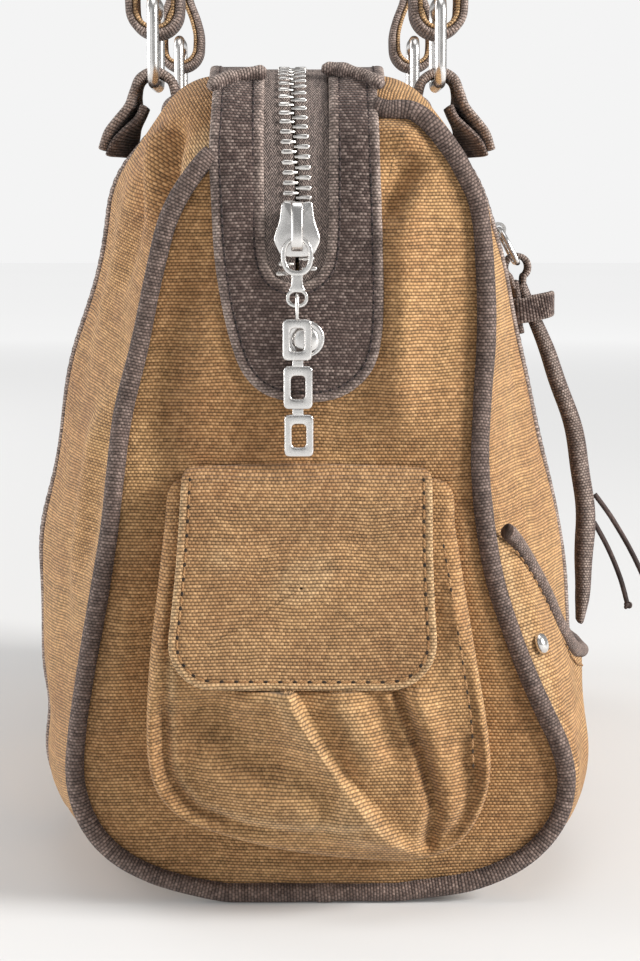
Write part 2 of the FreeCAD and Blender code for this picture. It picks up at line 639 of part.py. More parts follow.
def make_pull(parts):
    """A fabric strap hung on the ring, doubled over and held by a keeper."""
    x = FRONT_SLIDER_X
    a, b = x - PULL_HALF, x + PULL_HALF
    bar = FRONT_RING_FOOT
    points = pull_points()
    strap = ribbon(points, 3.4, a, b)
    loop_centre = V(0, bar.y, bar.z - 1.5)
    loop = tube(V(a, loop_centre.y, loop_centre.z), V(b, loop_centre.y, loop_centre.z), 5.0)
    hole = tube(V(a - 1, loop_centre.y, loop_centre.z), V(b + 1, loop_centre.y, loop_centre.z), 3.0)
    tail = ribbon([(bar.y + 0.2, bar.z - 6.0), (bar.y - 0.6, 180), (bar.y - 1.6, 170)], 1.4, a, b)
    strap = strap.fuse([loop, tail]).cut(hole)
    parts["pull_strap"] = strap.removeSplitter()
    middle = points[1]
    keeper = block(a - 1.4, b + 1.4, middle[0] - 6.6, middle[0] + 9.0, middle[1] - 1, middle[1] + 8)
    keeper = keeper.cut(block(a - 0.1, b + 0.1, middle[0] - 5.2, middle[0] + 7.6, 160, 200))
    keeper = keeper.cut(parts["pull_strap"]).cut(envelope(0.3))
    parts["pull_keeper"] = sorted(keeper.Solids, key=lambda s: s.Volume)[-1]


LACE_D = 1.8
UPPER_LACE = [(-62.0, -104.4, 113.0), (-62.3, -108.6, 107.6), (-61.8, -112.6, 101.4),
              (-62.0, -116.4, 95.0), (-62.6, -119.9, 88.2), (-62.4, -123.1, 81.2)]
LOWER_LACE = [(-61.0, -104.4, 103.0), (-60.6, -107.6, 97.6), (-60.9, -110.4, 92.0),
              (-60.5, -112.8, 86.4), (-60.8, -114.9, 80.6), (-60.6, -116.5, 74.4)]


def lace_tube(points, name):
    """Straight runs joined by tangent arcs as large as the runs allow."""
    spots = [V(*p) for p in points]
    edges = []
    radii = []
    last = spots[0]
    for i in range(1, len(spots) - 1):
        before, here, after = spots[i - 1], spots[i], spots[i + 1]
        shorter = min(before.distanceToPoint(here), here.distanceToPoint(after))
        turn = math.pi - (before - here).getAngle(after - here)
        radius = 0.45 * shorter / math.tan(turn / 2)
        start, middle, end = corner_arc(before, here, after, radius)
        edges.append(Part.LineSegment(last, start).toShape())
        edges.append(Part.Arc(start, middle, end).toShape())
        radii.append(round(radius, 1))
        last = end
    edges.append(Part.LineSegment(last, spots[-1]).toShape())
    path = Part.Wire(edges)
    ring = Part.Wire(Part.Circle(spots[0], spots[1] - spots[0], LACE_D / 2).toShape())
    solid = path.makePipeShell([ring], True, False)
    ideal = path.Length * math.pi * LACE_D ** 2 / 4
    print(name, "length", round(path.Length, 1), "radii", radii,
          "volume / ideal", round(solid.Volume / ideal, 4))
    return solid


def make_laces(parts):
    for name, points in (("upper_lace", UPPER_LACE), ("lower_lace", LOWER_LACE)):
        parts[name] = lace_tube(points, name).cut(parts["pull_strap"])
        last, before = V(*points[-1]), V(*points[-2])
        ahead = (last - before).normalize()
        knot = Part.makeSphere(1.7, last + ahead * 1.2)
        parts[name + "_knot"] = knot.cut(parts[name])


# ---- the whole bag ------------------------------------------------------------------------
ZIP_FRAME = SlopeFrame(ZIP_Z)
FRONT_RING_AXIS = ZIP_FRAME.point(FRONT_SLIDER_X, 0, 5.7)
FRONT_RING_FOOT = FRONT_RING_AXIS + V(0, -6.0, -11.5)


def make_bag():
    parts = {}
    make_panels(parts)
    make_piping(parts)
    make_zip_surround(parts)
    make_main_zip(parts)
    make_tab_discs(parts)
    make_main_slider(parts)
    make_puller(parts)
    make_tag(parts)
    make_end_pockets(parts)
    make_bands(parts)
    make_front_pocket(parts)
    make_front_zip(parts)
    make_front_ring(parts)
    make_pull(parts)
    make_laces(parts)
    for side, sign in (("front", -1), ("back", 1)):
        make_handle(parts, side, sign)
        for end, x in (("left", -RING_X), ("right", RING_X)):
            make_chape(parts, side, sign, end, x)
            make_ring(parts, side, sign, end, x)
    return parts


os.makedirs("parts", exist_ok=True)
for node, shape in make_bag().items():
    shape.exportStep("parts/" + node + ".step")
    box = shape.BoundBox
    print(node, len(shape.Solids), shape.isValid(), round(shape.Volume),
          [round(v, 1) for v in (box.XMin, box.XMax, box.YMin, box.YMax, box.ZMin, box.ZMax)])
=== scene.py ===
import math

import bpy
import numpy as np
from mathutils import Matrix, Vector


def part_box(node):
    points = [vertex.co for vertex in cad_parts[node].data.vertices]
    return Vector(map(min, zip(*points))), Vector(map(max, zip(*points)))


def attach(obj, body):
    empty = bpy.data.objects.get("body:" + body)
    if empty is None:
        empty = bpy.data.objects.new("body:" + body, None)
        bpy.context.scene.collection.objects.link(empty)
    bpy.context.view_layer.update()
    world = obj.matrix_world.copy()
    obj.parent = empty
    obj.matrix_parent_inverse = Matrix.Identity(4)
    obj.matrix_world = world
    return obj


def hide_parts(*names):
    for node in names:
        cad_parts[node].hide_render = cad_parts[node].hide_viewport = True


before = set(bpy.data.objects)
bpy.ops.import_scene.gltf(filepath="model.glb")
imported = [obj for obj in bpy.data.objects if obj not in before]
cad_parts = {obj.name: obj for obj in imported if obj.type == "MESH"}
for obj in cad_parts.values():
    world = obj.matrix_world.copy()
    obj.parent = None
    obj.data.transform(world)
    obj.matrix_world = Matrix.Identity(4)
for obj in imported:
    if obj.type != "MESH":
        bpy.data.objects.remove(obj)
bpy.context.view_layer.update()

# Canvas satchel. Shapes are worked out in millimetres and stored in metres, in the CAD's frame:
# +X along the bag, -Y its front, +Z up.
MM = 0.001
PI = math.pi
rng = np.random.default_rng(11)


def node_box(node):
    low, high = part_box(node)
    return np.array(low) / MM, np.array(high) / MM


HALF = -node_box("left_end_panel")[0][0]            # end panels
TOP = node_box("main_zip_tape_back")[1][2]          # zip line
SHOULDER = 28.0                                     # the zip rolls over each end on this radius
ROLL_Z = TOP - SHOULDER
BAG_MIDDLE = np.array([0.0, 0.0, 120.0])
STRAIGHT = 100.0                                    # the middle keeps one section
BELLY_BACK = [(-4, 0, 0), (84, 0, 34), (86, 105, 90), (60, 222, 40), (34, 254, 20), (10.4, 254, 0)]
BELLY_FRONT = [(-4, 0, 0), (-92, 0, 34), (-91, 95, 90), (-60, 222, 40), (-34, 254, 20),
               (-10.4, 254, 0)]
# Outline of an end: y, then height up the panel and on over the rolled shoulder.
END_BACK = [(-4, 2.5), (12, 2.8), (28, 5), (44, 9.5), (56, 16.5), (63.5, 26), (67, 38), (66.5, 52),
            (63.5, 72), (59.5, 94), (56, 115), (54, 132), (51.5, 151), (46.5, 171), (42, 192),
            (37, 210), (28.5, 223.5), (19, 233), (13.5, 241), (10.4, 248)]
END_FRONT = [(-4, 2.5), (-20, 2.8), (-36, 4.6), (-54, 7.5), (-69, 14.5), (-78.5, 25), (-81.5, 37),
             (-79.5, 48), (-75, 58), (-70, 69), (-64.5, 83), (-59, 100), (-55.8, 118),
             (-54.3, 135), (-55, 152), (-56.3, 172), (-56, 190), (-54, 211), (-49.5, 222),
             (-43, 232.5),
             (-34.5, 240.5), (-26, 241), (-16.5, 246), (-10.4, 251)]
PIPING_R = 2.95
RING_X = 85.0
RING_Y = 47.0


# ---- small geometry helpers ---------------------------------------------------------------
def smoothstep(a, b, x):
    t = np.clip((x - a) / (b - a), 0.0, 1.0)
    return t * t * (3.0 - 2.0 * t)


def unit(v):
    return v / np.maximum(np.linalg.norm(v, axis=-1, keepdims=True), 1e-9)


def resample(points, count, closed=False):
    """Even steps by length along a polyline."""
    points = np.asarray(points, float)
    if closed:
        points = np.vstack([points, points[:1]])
    step = np.linalg.norm(np.diff(points, axis=0), axis=1)
    s = np.concatenate([[0.0], np.cumsum(step)])
    at = np.linspace(0.0, s[-1], count + 1 if closed else count)
    if closed:
        at = at[:-1]
    return np.stack([np.interp(at, s, points[:, k]) for k in range(points.shape[1])], 1)


def smooth(points, count, closed=False):
    """Even steps along a Catmull-Rom curve through the points."""
    p = np.asarray(points, float)
    n = len(p)
    if closed:
        q = np.vstack([p[-1:], p, p[:2]])
        spans = n
    else:
        q = np.vstack([2 * p[:1] - p[1:2], p, 2 * p[-1:] - p[-2:-1]])
        spans = n - 1
    t = np.linspace(0, 1, 12, endpoint=False)[:, None]
    out = []
    for i in range(spans):
        a, b, c, d = q[i], q[i + 1], q[i + 2], q[i + 3]
        out.append(0.5 * (2 * b + (c - a) * t + (2 * a - 5 * b + 4 * c - d) * t ** 2
                          + (3 * b - a - 3 * c + d) * t ** 3))
    if not closed:
        out.append(p[-1:])
    return resample(np.vstack(out), count, closed)


def rounded(corners, count, closed=False):
    """Even steps along a polyline whose corners, (u, v, radius), are rounded."""
    c = [np.array(k[:2], float) for k in corners]
    out = []
    n = len(c)
    for i in range(n):
        radius = corners[i][2]
        if radius <= 0 or (not closed and i in (0, n - 1)):
            out.append(c[i])
            continue
        a, b = unit(c[i - 1] - c[i]), unit(c[(i + 1) % n] - c[i])
        half = math.acos(max(-1.0, min(1.0, float(a @ b)))) / 2.0
        if half > PI / 2 - 1e-3:
            out.append(c[i])
            continue
        middle = c[i] + unit(a + b) * (radius / math.sin(half))
        start = c[i] + a * (radius / math.tan(half)) - middle
        end = c[i] + b * (radius / math.tan(half)) - middle
        for t in np.linspace(0, 1, 9):
            out.append(middle + unit(start * (1 - t) + end * t) * radius)
    return resample(out, count, closed)


def normals_of(grid):
    """Unit normals of a grid of points, rows by columns."""
    return unit(np.cross(np.gradient(grid, axis=0), np.gradient(grid, axis=1)))


def outward(grid):
    """Normals of a sheet that faces away from the middle of the bag."""
    normal = normals_of(grid)
    return -normal if np.mean(np.sum((grid - BAG_MIDDLE) * normal, -1)) < 0 else normal


def stroke(points, line, width, height, other=None, fade=0.25):
    """Height of a crease along a line: a bell across it, fading out at its ends. In two
    dimensions its right-hand side may have another width."""
    line = np.asarray(line, float)
    seg = np.diff(line, axis=0)
    length = np.linalg.norm(seg, axis=1)
    start = np.concatenate([[0.0], np.cumsum(length)])
    best = np.full(points.shape[:-1], 1e9)
    along = np.zeros(points.shape[:-1])
    side = np.zeros(points.shape[:-1])
    for i in range(len(seg)):
        rel = points - line[i]
        t = np.clip((rel @ seg[i]) / length[i] ** 2, 0.0, 1.0)
        gap = rel - t[..., None] * seg[i]
        d = np.linalg.norm(gap, axis=-1)
        near = d < best
        best = np.where(near, d, best)
        along = np.where(near, (start[i] + t * length[i]) / start[-1], along)
        if points.shape[-1] == 2:
            side = np.where(near, seg[i][0] * rel[..., 1] - seg[i][1] * rel[..., 0], side)
    w = width if other is None else np.where(side > 0, width, other)
    ends = smoothstep(0.0, fade, along) * smoothstep(0.0, fade, 1.0 - along) if fade else 1.0
    return height * np.exp(-(best / w) ** 2) * ends


def ripple(points, wave, height, seed):
    """A few crossed sine waves, the broad unevenness of cloth."""
    r = np.random.default_rng(seed)
    total = np.zeros(points.shape[:-1])
    for _ in range(6):
        heading = unit(r.normal(size=points.shape[-1]))
        length = wave * r.uniform(0.6, 1.6)
        total += np.sin(points @ heading * (2 * PI / length) + r.uniform(0, 2 * PI))
    return total * height / 3.0


def make_object(name, data, material, body, replaces=()):
    thing = bpy.data.objects.new(name, data)
    bpy.context.scene.collection.objects.link(thing)
    if material:
        data.materials.append(material)
    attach(thing, body)
    if replaces:
        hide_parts(*replaces)
    return thing


def make_mesh(name, verts, faces, uvs, look, body, replaces=(), wear=None, subdivide=0, thick=0.0):
    """A mesh piece. uvs are one per face corner in millimetres, look is (material, slot), and its
    slot is not used.
    """
    mesh = bpy.data.meshes.new(name)
    mesh.from_pydata((np.asarray(verts) * MM).tolist(), [], [tuple(f) for f in faces])
    if uvs is not None:
        layer = mesh.uv_layers.new(name="UVMap")
        layer.data.foreach_set("uv", np.asarray(uvs, np.float32).ravel())
    if wear is not None:
        layer = mesh.attributes.new("wear", "FLOAT", "POINT")
        layer.data.foreach_set("value", np.asarray(wear, np.float32).ravel())
    mesh.polygons.foreach_set("use_smooth", [True] * len(mesh.polygons))
    mesh.update()
    thing = make_object(name, mesh, look[0], body, replaces)
    if thick:
        modifier = thing.modifiers.new("thickness", "SOLIDIFY")
        modifier.thickness = thick * MM
        modifier.offset = -1.0
        modifier.use_even_offset = False
    if subdivide:
        modifier = thing.modifiers.new("smooth", "SUBSURF")
        modifier.levels = subdivide
        modifier.render_levels = subdivide
    return thing


def grid_faces(rows, cols, closed_u, closed_v, flip=False):
    i, j = np.meshgrid(np.arange(rows if closed_u else rows - 1),
                       np.arange(cols if closed_v else cols - 1), indexing="ij")
    i, j = i.ravel(), j.ravel()
    i2, j2 = (i + 1) % rows, (j + 1) % cols
    faces = np.stack([i * cols + j, i2 * cols + j, i2 * cols + j2, i * cols + j2], 1)
    corners = np.stack([np.stack([i, j], 1), np.stack([i + 1, j], 1),
                        np.stack([i + 1, j + 1], 1), np.stack([i, j + 1], 1)], 1)
    if flip:
        faces, corners = faces[:, ::-1], corners[:, ::-1]
    return faces, corners


def turned_in(verts, faces, middle):
    """Whether quads face inward, by the signed volume they span about a point."""
    a, b, c, d = (verts[faces[:, k]] - middle for k in range(4))
    return np.sum(a * np.cross(b, c)) + np.sum(a * np.cross(c, d)) < 0


def capped(points):
    """Outward faces of one tube of points, sides then caps, and the texture corners of its
    sides."""
    rows, cols = points.shape[:2]
    own = points.reshape(-1, 3)
    flip = turned_in(own, grid_faces(rows, cols, False, True)[0], own.mean(0))
    faces, corners = grid_faces(rows, cols, False, True, flip)
    ends = [list(range(cols)), list(range(rows * cols - cols, rows * cols))[::-1]]
    return faces.tolist() + [end[::-1] if flip else end for end in ends], corners


def grid_uv(grid, closed_u, closed_v):
    """Lengths in millimetres along the middle row and the middle column."""
    row = grid[grid.shape[0] // 2]
    col = grid[:, grid.shape[1] // 2]
    if closed_v:
        row = np.vstack([row, row[:1]])
    if closed_u:
        col = np.vstack([col, col[:1]])
    u = np.concatenate([[0], np.cumsum(np.linalg.norm(np.diff(row, axis=0), axis=1))])
    v = np.concatenate([[0], np.cumsum(np.linalg.norm(np.diff(col, axis=0), axis=1))])
    return np.stack(np.meshgrid(v, u, indexing="ij")[::-1], -1)


def grid_piece(name, grid, look, body, replaces=(), closed=(False, False), caps=False,
               uv=None, wear=None, subdivide=1, thick=0.0):
    rows, cols = grid.shape[:2]
    verts = grid.reshape(-1, 3)
    middle = BAG_MIDDLE if caps == "last" or not any(closed) else verts.mean(0)
    flip = turned_in(verts, grid_faces(rows, cols, closed[0], closed[1])[0], middle)
    faces, corners = grid_faces(rows, cols, closed[0], closed[1], flip)
    if uv is None:
        uv = grid_uv(grid, closed[0], closed[1])
    elif closed[1] and uv.shape[1] == cols:
        uv = np.concatenate([uv, uv[:, :1]], 1)
    loops = list(uv[corners[..., 0], corners[..., 1]].reshape(-1, 2))
    faces = [list(f) for f in faces]
    for index in {True: (0, rows - 1), "last": (rows - 1,), False: ()}[caps]:
        for j in range(cols // 2 - 1):
            strip = [j, j + 1, cols - 2 - j, cols - 1 - j]
            turned = strip if (index == 0) != flip else strip[::-1]
            faces.append([index * cols + k for k in turned])
            loops.extend([uv[index, k % cols] for k in turned])
    return make_mesh(name, verts, faces, loops, look, body, replaces, wear, subdivide, thick)


def solid(name, grid, look, body, replaces=(), **kwargs):
    """A closed section carried along a path and capped at both ends."""
    return grid_piece(name, grid, look, body, replaces, closed=(False, True), caps=True, **kwargs)


def frames_along(path, up, closed=False):
    """Tangent, side and up directions along a path."""
    if closed:
        tangent = unit(np.roll(path, -1, 0) - np.roll(path, 1, 0))
    else:
        tangent = unit(np.gradient(path, axis=0))
    up = np.broadcast_to(np.asarray(up, float), path.shape)
    side = unit(np.cross(tangent, up))
    return tangent, side, np.cross(side, tangent)


def sweep(path, profile, up, closed=False):
    """Grid of a section (side, up) carried along a path; profile may differ along it."""
    path = np.asarray(path, float)
    _, side, lift = frames_along(path, up, closed)
    profile = np.broadcast_to(np.asarray(profile, float), (len(path),) + np.shape(profile)[-2:])
    return path[:, None] + side[:, None] * profile[..., :1] + lift[:, None] * profile[..., 1:]


def round_section(radius, count=12):
    a = np.linspace(0, 2 * PI, count, endpoint=False)
    return np.stack([np.cos(a) * radius, np.sin(a) * radius], 1)


def rectangle(low, high, radius, count):
    """A closed outline with rounded corners between two opposite corners."""
    (a, b), (c, d) = low, high
    return rounded([(a, b, radius), (c, b, radius), (c, d, radius), (a, d, radius)], count, True)


def strap_section(half, thick, edge=0.35, count=28):
    """A flat strap with soft rolled edges."""
    return rectangle((-half, -thick / 2), (half, thick / 2), thick * edge, count)


def edge_wear(section, half, grid, start, amount=0.8):
    """Wear toward the two edges of a strap of this section and half width."""
    across = np.abs(section[:, 0]) / half
    return np.broadcast_to(smoothstep(start, 1.0, across) * amount, grid.shape[:2])


def strip_uv(profile, along, grid):
    """Texture coordinates of a flat strip: across it by its profile, then along it."""
    return np.stack([np.broadcast_to(profile[None, :, 0], grid.shape[:2]),
                     np.broadcast_to(along[:, None], grid.shape[:2])], -1)


def tube_piece(name, path, radius, look, body, up=(0, 0, 1), closed=False, count=12, **kwargs):
    grid = sweep(path, round_section(radius, count), up, closed)
    return grid_piece(name, grid, look, body, closed=(closed, True), caps=not closed, **kwargs)


def inward(outline):
    """Inward normals of a closed outline."""
    t = unit(np.roll(outline, -1, 0) - np.roll(outline, 1, 0))
    n = np.stack([-t[:, 1], t[:, 0]], 1)
    area = np.sum(outline[:, 0] * np.roll(outline[:, 1], -1)
                  - outline[:, 1] * np.roll(outline[:, 0], -1))
    return n if area > 0 else -n


def rings(outline, insets, centre, reach):
    """Outlines drawn in from a closed outline: by its normals as far as reach, then toward the
    centre, where an inset of 1000 is the centre itself."""
    normal = inward(outline)
    out = []
    for inset in insets:
        if inset <= reach:
            out.append(outline + normal * inset)
        else:
            share = (inset - reach) / (1000.0 - reach)
            rim = outline + normal * reach
            out.append(rim + (np.asarray(centre) - rim) * share)
    return np.stack(out)


def fractions(reach, count):
    """Insets beyond reach in even steps, to just short of the centre."""
    return [reach + (1000.0 - reach) * 0.995 * k / count for k in range(1, count + 1)]


# ---- materials ----------------------------------------------------------------------------
class Nodes:
    """Short names for building a node tree."""

    def __init__(self, name):
        self.material = bpy.data.materials.new(name)
        self.material.use_nodes = True
        self.tree = self.material.node_tree
        self.tree.nodes.clear()
        self.shader = self.tree.nodes.new("ShaderNodeBsdfPrincipled")
        output = self.tree.nodes.new("ShaderNodeOutputMaterial")
        self.link(self.shader.outputs[0], output.inputs[0])

    def link(self, a, b):
        self.tree.links.new(a, b)

    def put(self, socket, value):
        if isinstance(value, bpy.types.NodeSocket):
            self.link(value, socket)
        else:
            socket.default_value = value

    def math(self, operation, *values):
        node = self.tree.nodes.new("ShaderNodeMath")
        node.operation = operation
        for socket, value in zip(node.inputs, values):
            self.put(socket, value)
        return node.outputs[0]

    def mix(self, factor, a, b, blend="MIX"):
        node = self.tree.nodes.new("ShaderNodeMix")
        node.data_type = "RGBA"
        node.blend_type = blend
        self.put(node.inputs[0], factor)
        self.put(node.inputs[6], a)
        self.put(node.inputs[7], b)
        return node.outputs[2]

    def noise(self, scale, detail=2.0, rough=0.5):
        node = self.tree.nodes.new("ShaderNodeTexNoise")
        node.inputs["Scale"].default_value = scale
        node.inputs["Detail"].default_value = detail
        node.inputs["Roughness"].default_value = rough
        self.link(self.place(), node.inputs["Vector"])
        return node.outputs[0]

    def place(self):
        return self.tree.nodes.new("ShaderNodeTexCoord").outputs["Object"]

    def uv(self):
        split = self.tree.nodes.new("ShaderNodeSeparateXYZ")
        coordinates = self.tree.nodes.new("ShaderNodeTexCoord")
        self.link(coordinates.outputs["UV"], split.inputs[0])
        return split.outputs[0], split.outputs[1]

    def spread(self, value, low, high, to_low=0.0, to_high=1.0):
        node = self.tree.nodes.new("ShaderNodeMapRange")
        for socket, v in zip(node.inputs, (value, low, high, to_low, to_high)):
            self.put(socket, v)
        return node.outputs[0]

    def wear(self):
        node = self.tree.nodes.new("ShaderNodeAttribute")
        node.attribute_name = "wear"
        return node.outputs["Fac"]

    def cell(self, x, y):
        node = self.tree.nodes.new("ShaderNodeTexWhiteNoise")
        node.noise_dimensions = "2D"
        join = self.tree.nodes.new("ShaderNodeCombineXYZ")
        self.put(join.inputs[0], x)
        self.put(join.inputs[1], y)
        self.link(join.outputs[0], node.inputs["Vector"])
        return node.outputs[0]

    def bump(self, height, distance, strength=1.0):
        node = self.tree.nodes.new("ShaderNodeBump")
        node.inputs["Strength"].default_value = strength
        node.inputs["Distance"].default_value = distance
        self.link(height, node.inputs["Height"])
        self.link(node.outputs[0], self.shader.inputs["Normal"])


def rgb(r, g, b):
    """Linear colour from display values."""
    out = []
    for c in (r, g, b):
        c = c / 255.0
        out.append(c / 12.92 if c <= 0.04045 else ((c + 0.055) / 1.055) ** 2.4)
    return tuple(out) + (1.0,)


def canvas(name, light, deep, worn, pitch=(1.25, 0.98), sheen=0.1, relief=0.34, mottle=0.5,
           speck=0.05):
    """Heavy plain-weave canvas: rows of crossed threads, each a little different, over broad
    uneven dye, with painted shade in the hollows between threads; paler where the edges are worn."""
    n = Nodes(name)
    u, v = n.uv()
    drift = n.noise(90.0, 1.0)
    u = n.math("ADD", u, n.math("MULTIPLY", drift, 1.6))
    v = n.math("ADD", v, n.math("MULTIPLY", n.noise(55.0, 1.0), 1.8))
    row = n.math("DIVIDE", v, pitch[1])
    line = n.math("FLOOR", row)
    col = n.math("ADD", n.math("DIVIDE", u, pitch[0]), n.math("MULTIPLY", line, 0.5))
    across = n.math("ABSOLUTE", n.math("SINE", n.math("MULTIPLY", row, PI)))
    along = n.math("ABSOLUTE", n.math("SINE", n.math("MULTIPLY", col, PI)))
    knot = n.math("MULTIPLY", n.math("POWER", across, 0.75),
                  n.math("ADD", 0.35, n.math("MULTIPLY", n.math("POWER", along, 0.8), 0.65)))
    thread = n.cell(n.math("FLOOR", col), line)
    yarn = n.cell(line, 3.0)
    fuzz = n.noise(2600.0, 2.0)
    height = n.math("ADD", n.math("MULTIPLY", knot, n.spread(thread, 0, 1, 0.75, 1.0)),
                    n.math("MULTIPLY", fuzz, 0.35))
    broad = n.spread(n.noise(14.0, 3.0, rough=0.6), 0.36, 0.66)
    patch = n.spread(n.noise(70.0, 4.0, rough=0.7), 0.3, 0.7)
    tone = n.math("ADD", n.math("MULTIPLY", broad, mottle),
                  n.math("MULTIPLY", patch, 1.0 - mottle))
    colour = n.mix(tone, deep, light)
    faded = n.math("MULTIPLY", n.wear(), n.spread(n.noise(420.0, 3.0), 0.3, 0.6, 0.45, 1.0))
    colour = n.mix(faded, colour, worn)
    pale = n.math("MULTIPLY", n.spread(thread, 0.45, 1.0, 0.0, speck * 4.0), knot)
    colour = n.mix(pale, colour, worn)
    # painted shade: the colour darkens into the hollows between threads by knot height, times
    # random per-thread and per-yarn tone
    shade = n.math("ADD", n.spread(knot, 0.1, 0.95, 0.3, 1.1),
                   n.math("ADD", n.spread(thread, 0, 1, -0.17, 0.17),
                          n.spread(yarn, 0, 1, -0.09, 0.09)))
    grey = n.tree.nodes.new("ShaderNodeCombineXYZ")
    for k in range(3):
        n.link(shade, grey.inputs[k])
    colour = n.mix(1.0, colour, grey.outputs[0], "MULTIPLY")
    n.link(colour, n.shader.inputs["Base Color"])
    n.link(n.spread(patch, 0, 1, 0.78, 0.95), n.shader.inputs["Roughness"])
    n.shader.inputs["Specular IOR Level"].default_value = 0.25
    n.shader.inputs["Sheen Weight"].default_value = sheen
    n.shader.inputs["Sheen Roughness"].default_value = 0.5
    n.bump(height, relief * MM)
    return n.material


def herringbone(name, light, deep):
    """Fine zip tape: slanted ribs that turn back every few millimetres, with painted shade in the
    troughs between them.
    """
    n = Nodes(name)
    u, v = n.uv()
    column = n.math("DIVIDE", u, 2.1)
    zig = n.math("ABSOLUTE", n.math("SUBTRACT", n.math("FRACT", column), 0.5))
    ribs = n.math("ADD", n.math("DIVIDE", v, 1.1), n.math("MULTIPLY", zig, 3.4))
    rib = n.math("ABSOLUTE", n.math("SINE", n.math("MULTIPLY", ribs, PI)))
    thread = n.cell(n.math("FLOOR", n.math("MULTIPLY", column, 6.0)), n.math("FLOOR", ribs))
    # painted shade: the colour falls to the near-black deep colour in the troughs between ribs,
    # times random per-thread tone
    tone = n.math("MULTIPLY", n.spread(rib, 0.25, 0.85, 0.0, 1.0),
                  n.spread(thread, 0, 1, 0.35, 1.1))
    n.link(n.mix(tone, deep, light), n.shader.inputs["Base Color"])
    n.link(n.spread(n.noise(300.0), 0.3, 0.7, 0.7, 0.9), n.shader.inputs["Roughness"])
    n.shader.inputs["Sheen Weight"].default_value = 0.1
    n.bump(n.math("ADD", rib, n.math("MULTIPLY", n.noise(3000.0), 0.4)), 0.24 * MM)
    return n.material


def metal(name, colour, rough):
    """Cast zinc with a satin nickel finish, faintly uneven and finely scratched."""
    n = Nodes(name)
    spots = 0.06
    cloud = n.noise(160.0, 3.0)
    grain = n.noise(2400.0, 2.0)
    low = tuple(c * (1.0 - 2.2 * spots) for c in colour[:3]) + (1.0,)
    n.link(n.mix(n.spread(cloud, 0.35, 0.65), low, colour), n.shader.inputs["Base Color"])
    n.shader.inputs["Metallic"].default_value = 1.0
    mixed = n.math("ADD", n.math("MULTIPLY", cloud, 0.5), n.math("MULTIPLY", grain, 0.5))
    n.link(n.spread(mixed, 0.3, 0.7, rough - spots, rough + spots), n.shader.inputs["Roughness"])
    n.bump(grain, 0.005 * MM, 0.5)
    return n.material


def yarn(name, colour, dark):
    """Twisted thread and lace, darker in the grooves of the twist: painted shade, mixed with
    random tone.
    """
    n = Nodes(name)
    u, v = n.uv()
    twist = n.math("ABSOLUTE", n.math("SINE", n.math("ADD", n.math("MULTIPLY", u, 3.0),
                                                    n.math("MULTIPLY", v, 2.2))))
    # painted shade in the twist grooves, times random tone
    n.link(n.mix(n.math("MULTIPLY", twist, n.spread(n.noise(500.0), 0.3, 0.7)), dark, colour),
           n.shader.inputs["Base Color"])
    n.shader.inputs["Roughness"].default_value = 0.85
    n.bump(n.math("ADD", twist, n.noise(2500.0)), 0.08 * MM)
    return n.material


TAN = (canvas("tan_canvas", rgb(204, 162, 112), rgb(166, 119, 76), rgb(222, 188, 144)),
       "tan_canvas")
DARK = (canvas("dark_canvas", rgb(122, 103, 96), rgb(78, 62, 58), rgb(182, 164, 154),
               pitch=(1.15, 0.92), sheen=0.12, relief=0.36, mottle=0.4, speck=0.12), "dark_canvas")
PIPED = (canvas("piping_canvas", rgb(112, 93, 86), rgb(66, 51, 47), rgb(166, 146, 136),
                pitch=(1.2, 0.95), sheen=0.12, relief=0.34, mottle=0.4, speck=0.1), "dark_canvas")
# its second colour is painted shade for the troughs between the ribs
TAPE = (herringbone("zip_tape", rgb(168, 150, 141), rgb(38, 29, 28)), "zip_tape")
LINING = (canvas("lining_cloth", rgb(120, 104, 88), rgb(96, 82, 70), rgb(130, 115, 100),
                 pitch=(0.6, 0.5), relief=0.1), "lining")
METAL = (metal("satin_nickel", (0.84, 0.82, 0.80, 1.0), 0.26), "metal")
TEETH = (metal("zip_teeth", (0.80, 0.77, 0.74, 1.0), 0.26), "teeth")
BOARD = (canvas("board", rgb(90, 85, 80), rgb(70, 66, 62), rgb(110, 104, 98), relief=0.05),
         "board")
LACE = (yarn("lace", rgb(92, 76, 72), rgb(50, 40, 38)), "lace")
THREAD_TAN = (yarn("thread_tan", rgb(190, 150, 104), rgb(140, 100, 62)), "tan_canvas")
THREAD_DARK = (yarn("thread_dark", rgb(92, 76, 74), rgb(52, 42, 42)), "dark_canvas")
# dark dots of painted shade standing in for the needle holes of the stitching
HOLE_SHADE = (yarn("needle_hole_shade", rgb(62, 44, 26), rgb(36, 26, 16)), "tan_canvas")
HOLE_SHADE_DARK = (yarn("needle_hole_shade_dark", rgb(36, 28, 27), rgb(22, 18, 17)), "dark_canvas")


# ---- stitches -----------------------------------------------------------------------------
def capsule(length, width, height):
    """A thread lying on cloth, in its own frame: along, across, up."""
    rows = []
    for t in np.linspace(-1, 1, 7):
        r = math.sqrt(max(0.0, 1 - abs(t) ** 2.6)) + 0.02
        a = np.linspace(0, 2 * PI, 6, endpoint=False)
        rows.append(np.stack([np.full(6, t * length / 2), np.cos(a) * r * width / 2,
                              np.sin(a) * r * height / 2], 1))
    return np.array(rows)


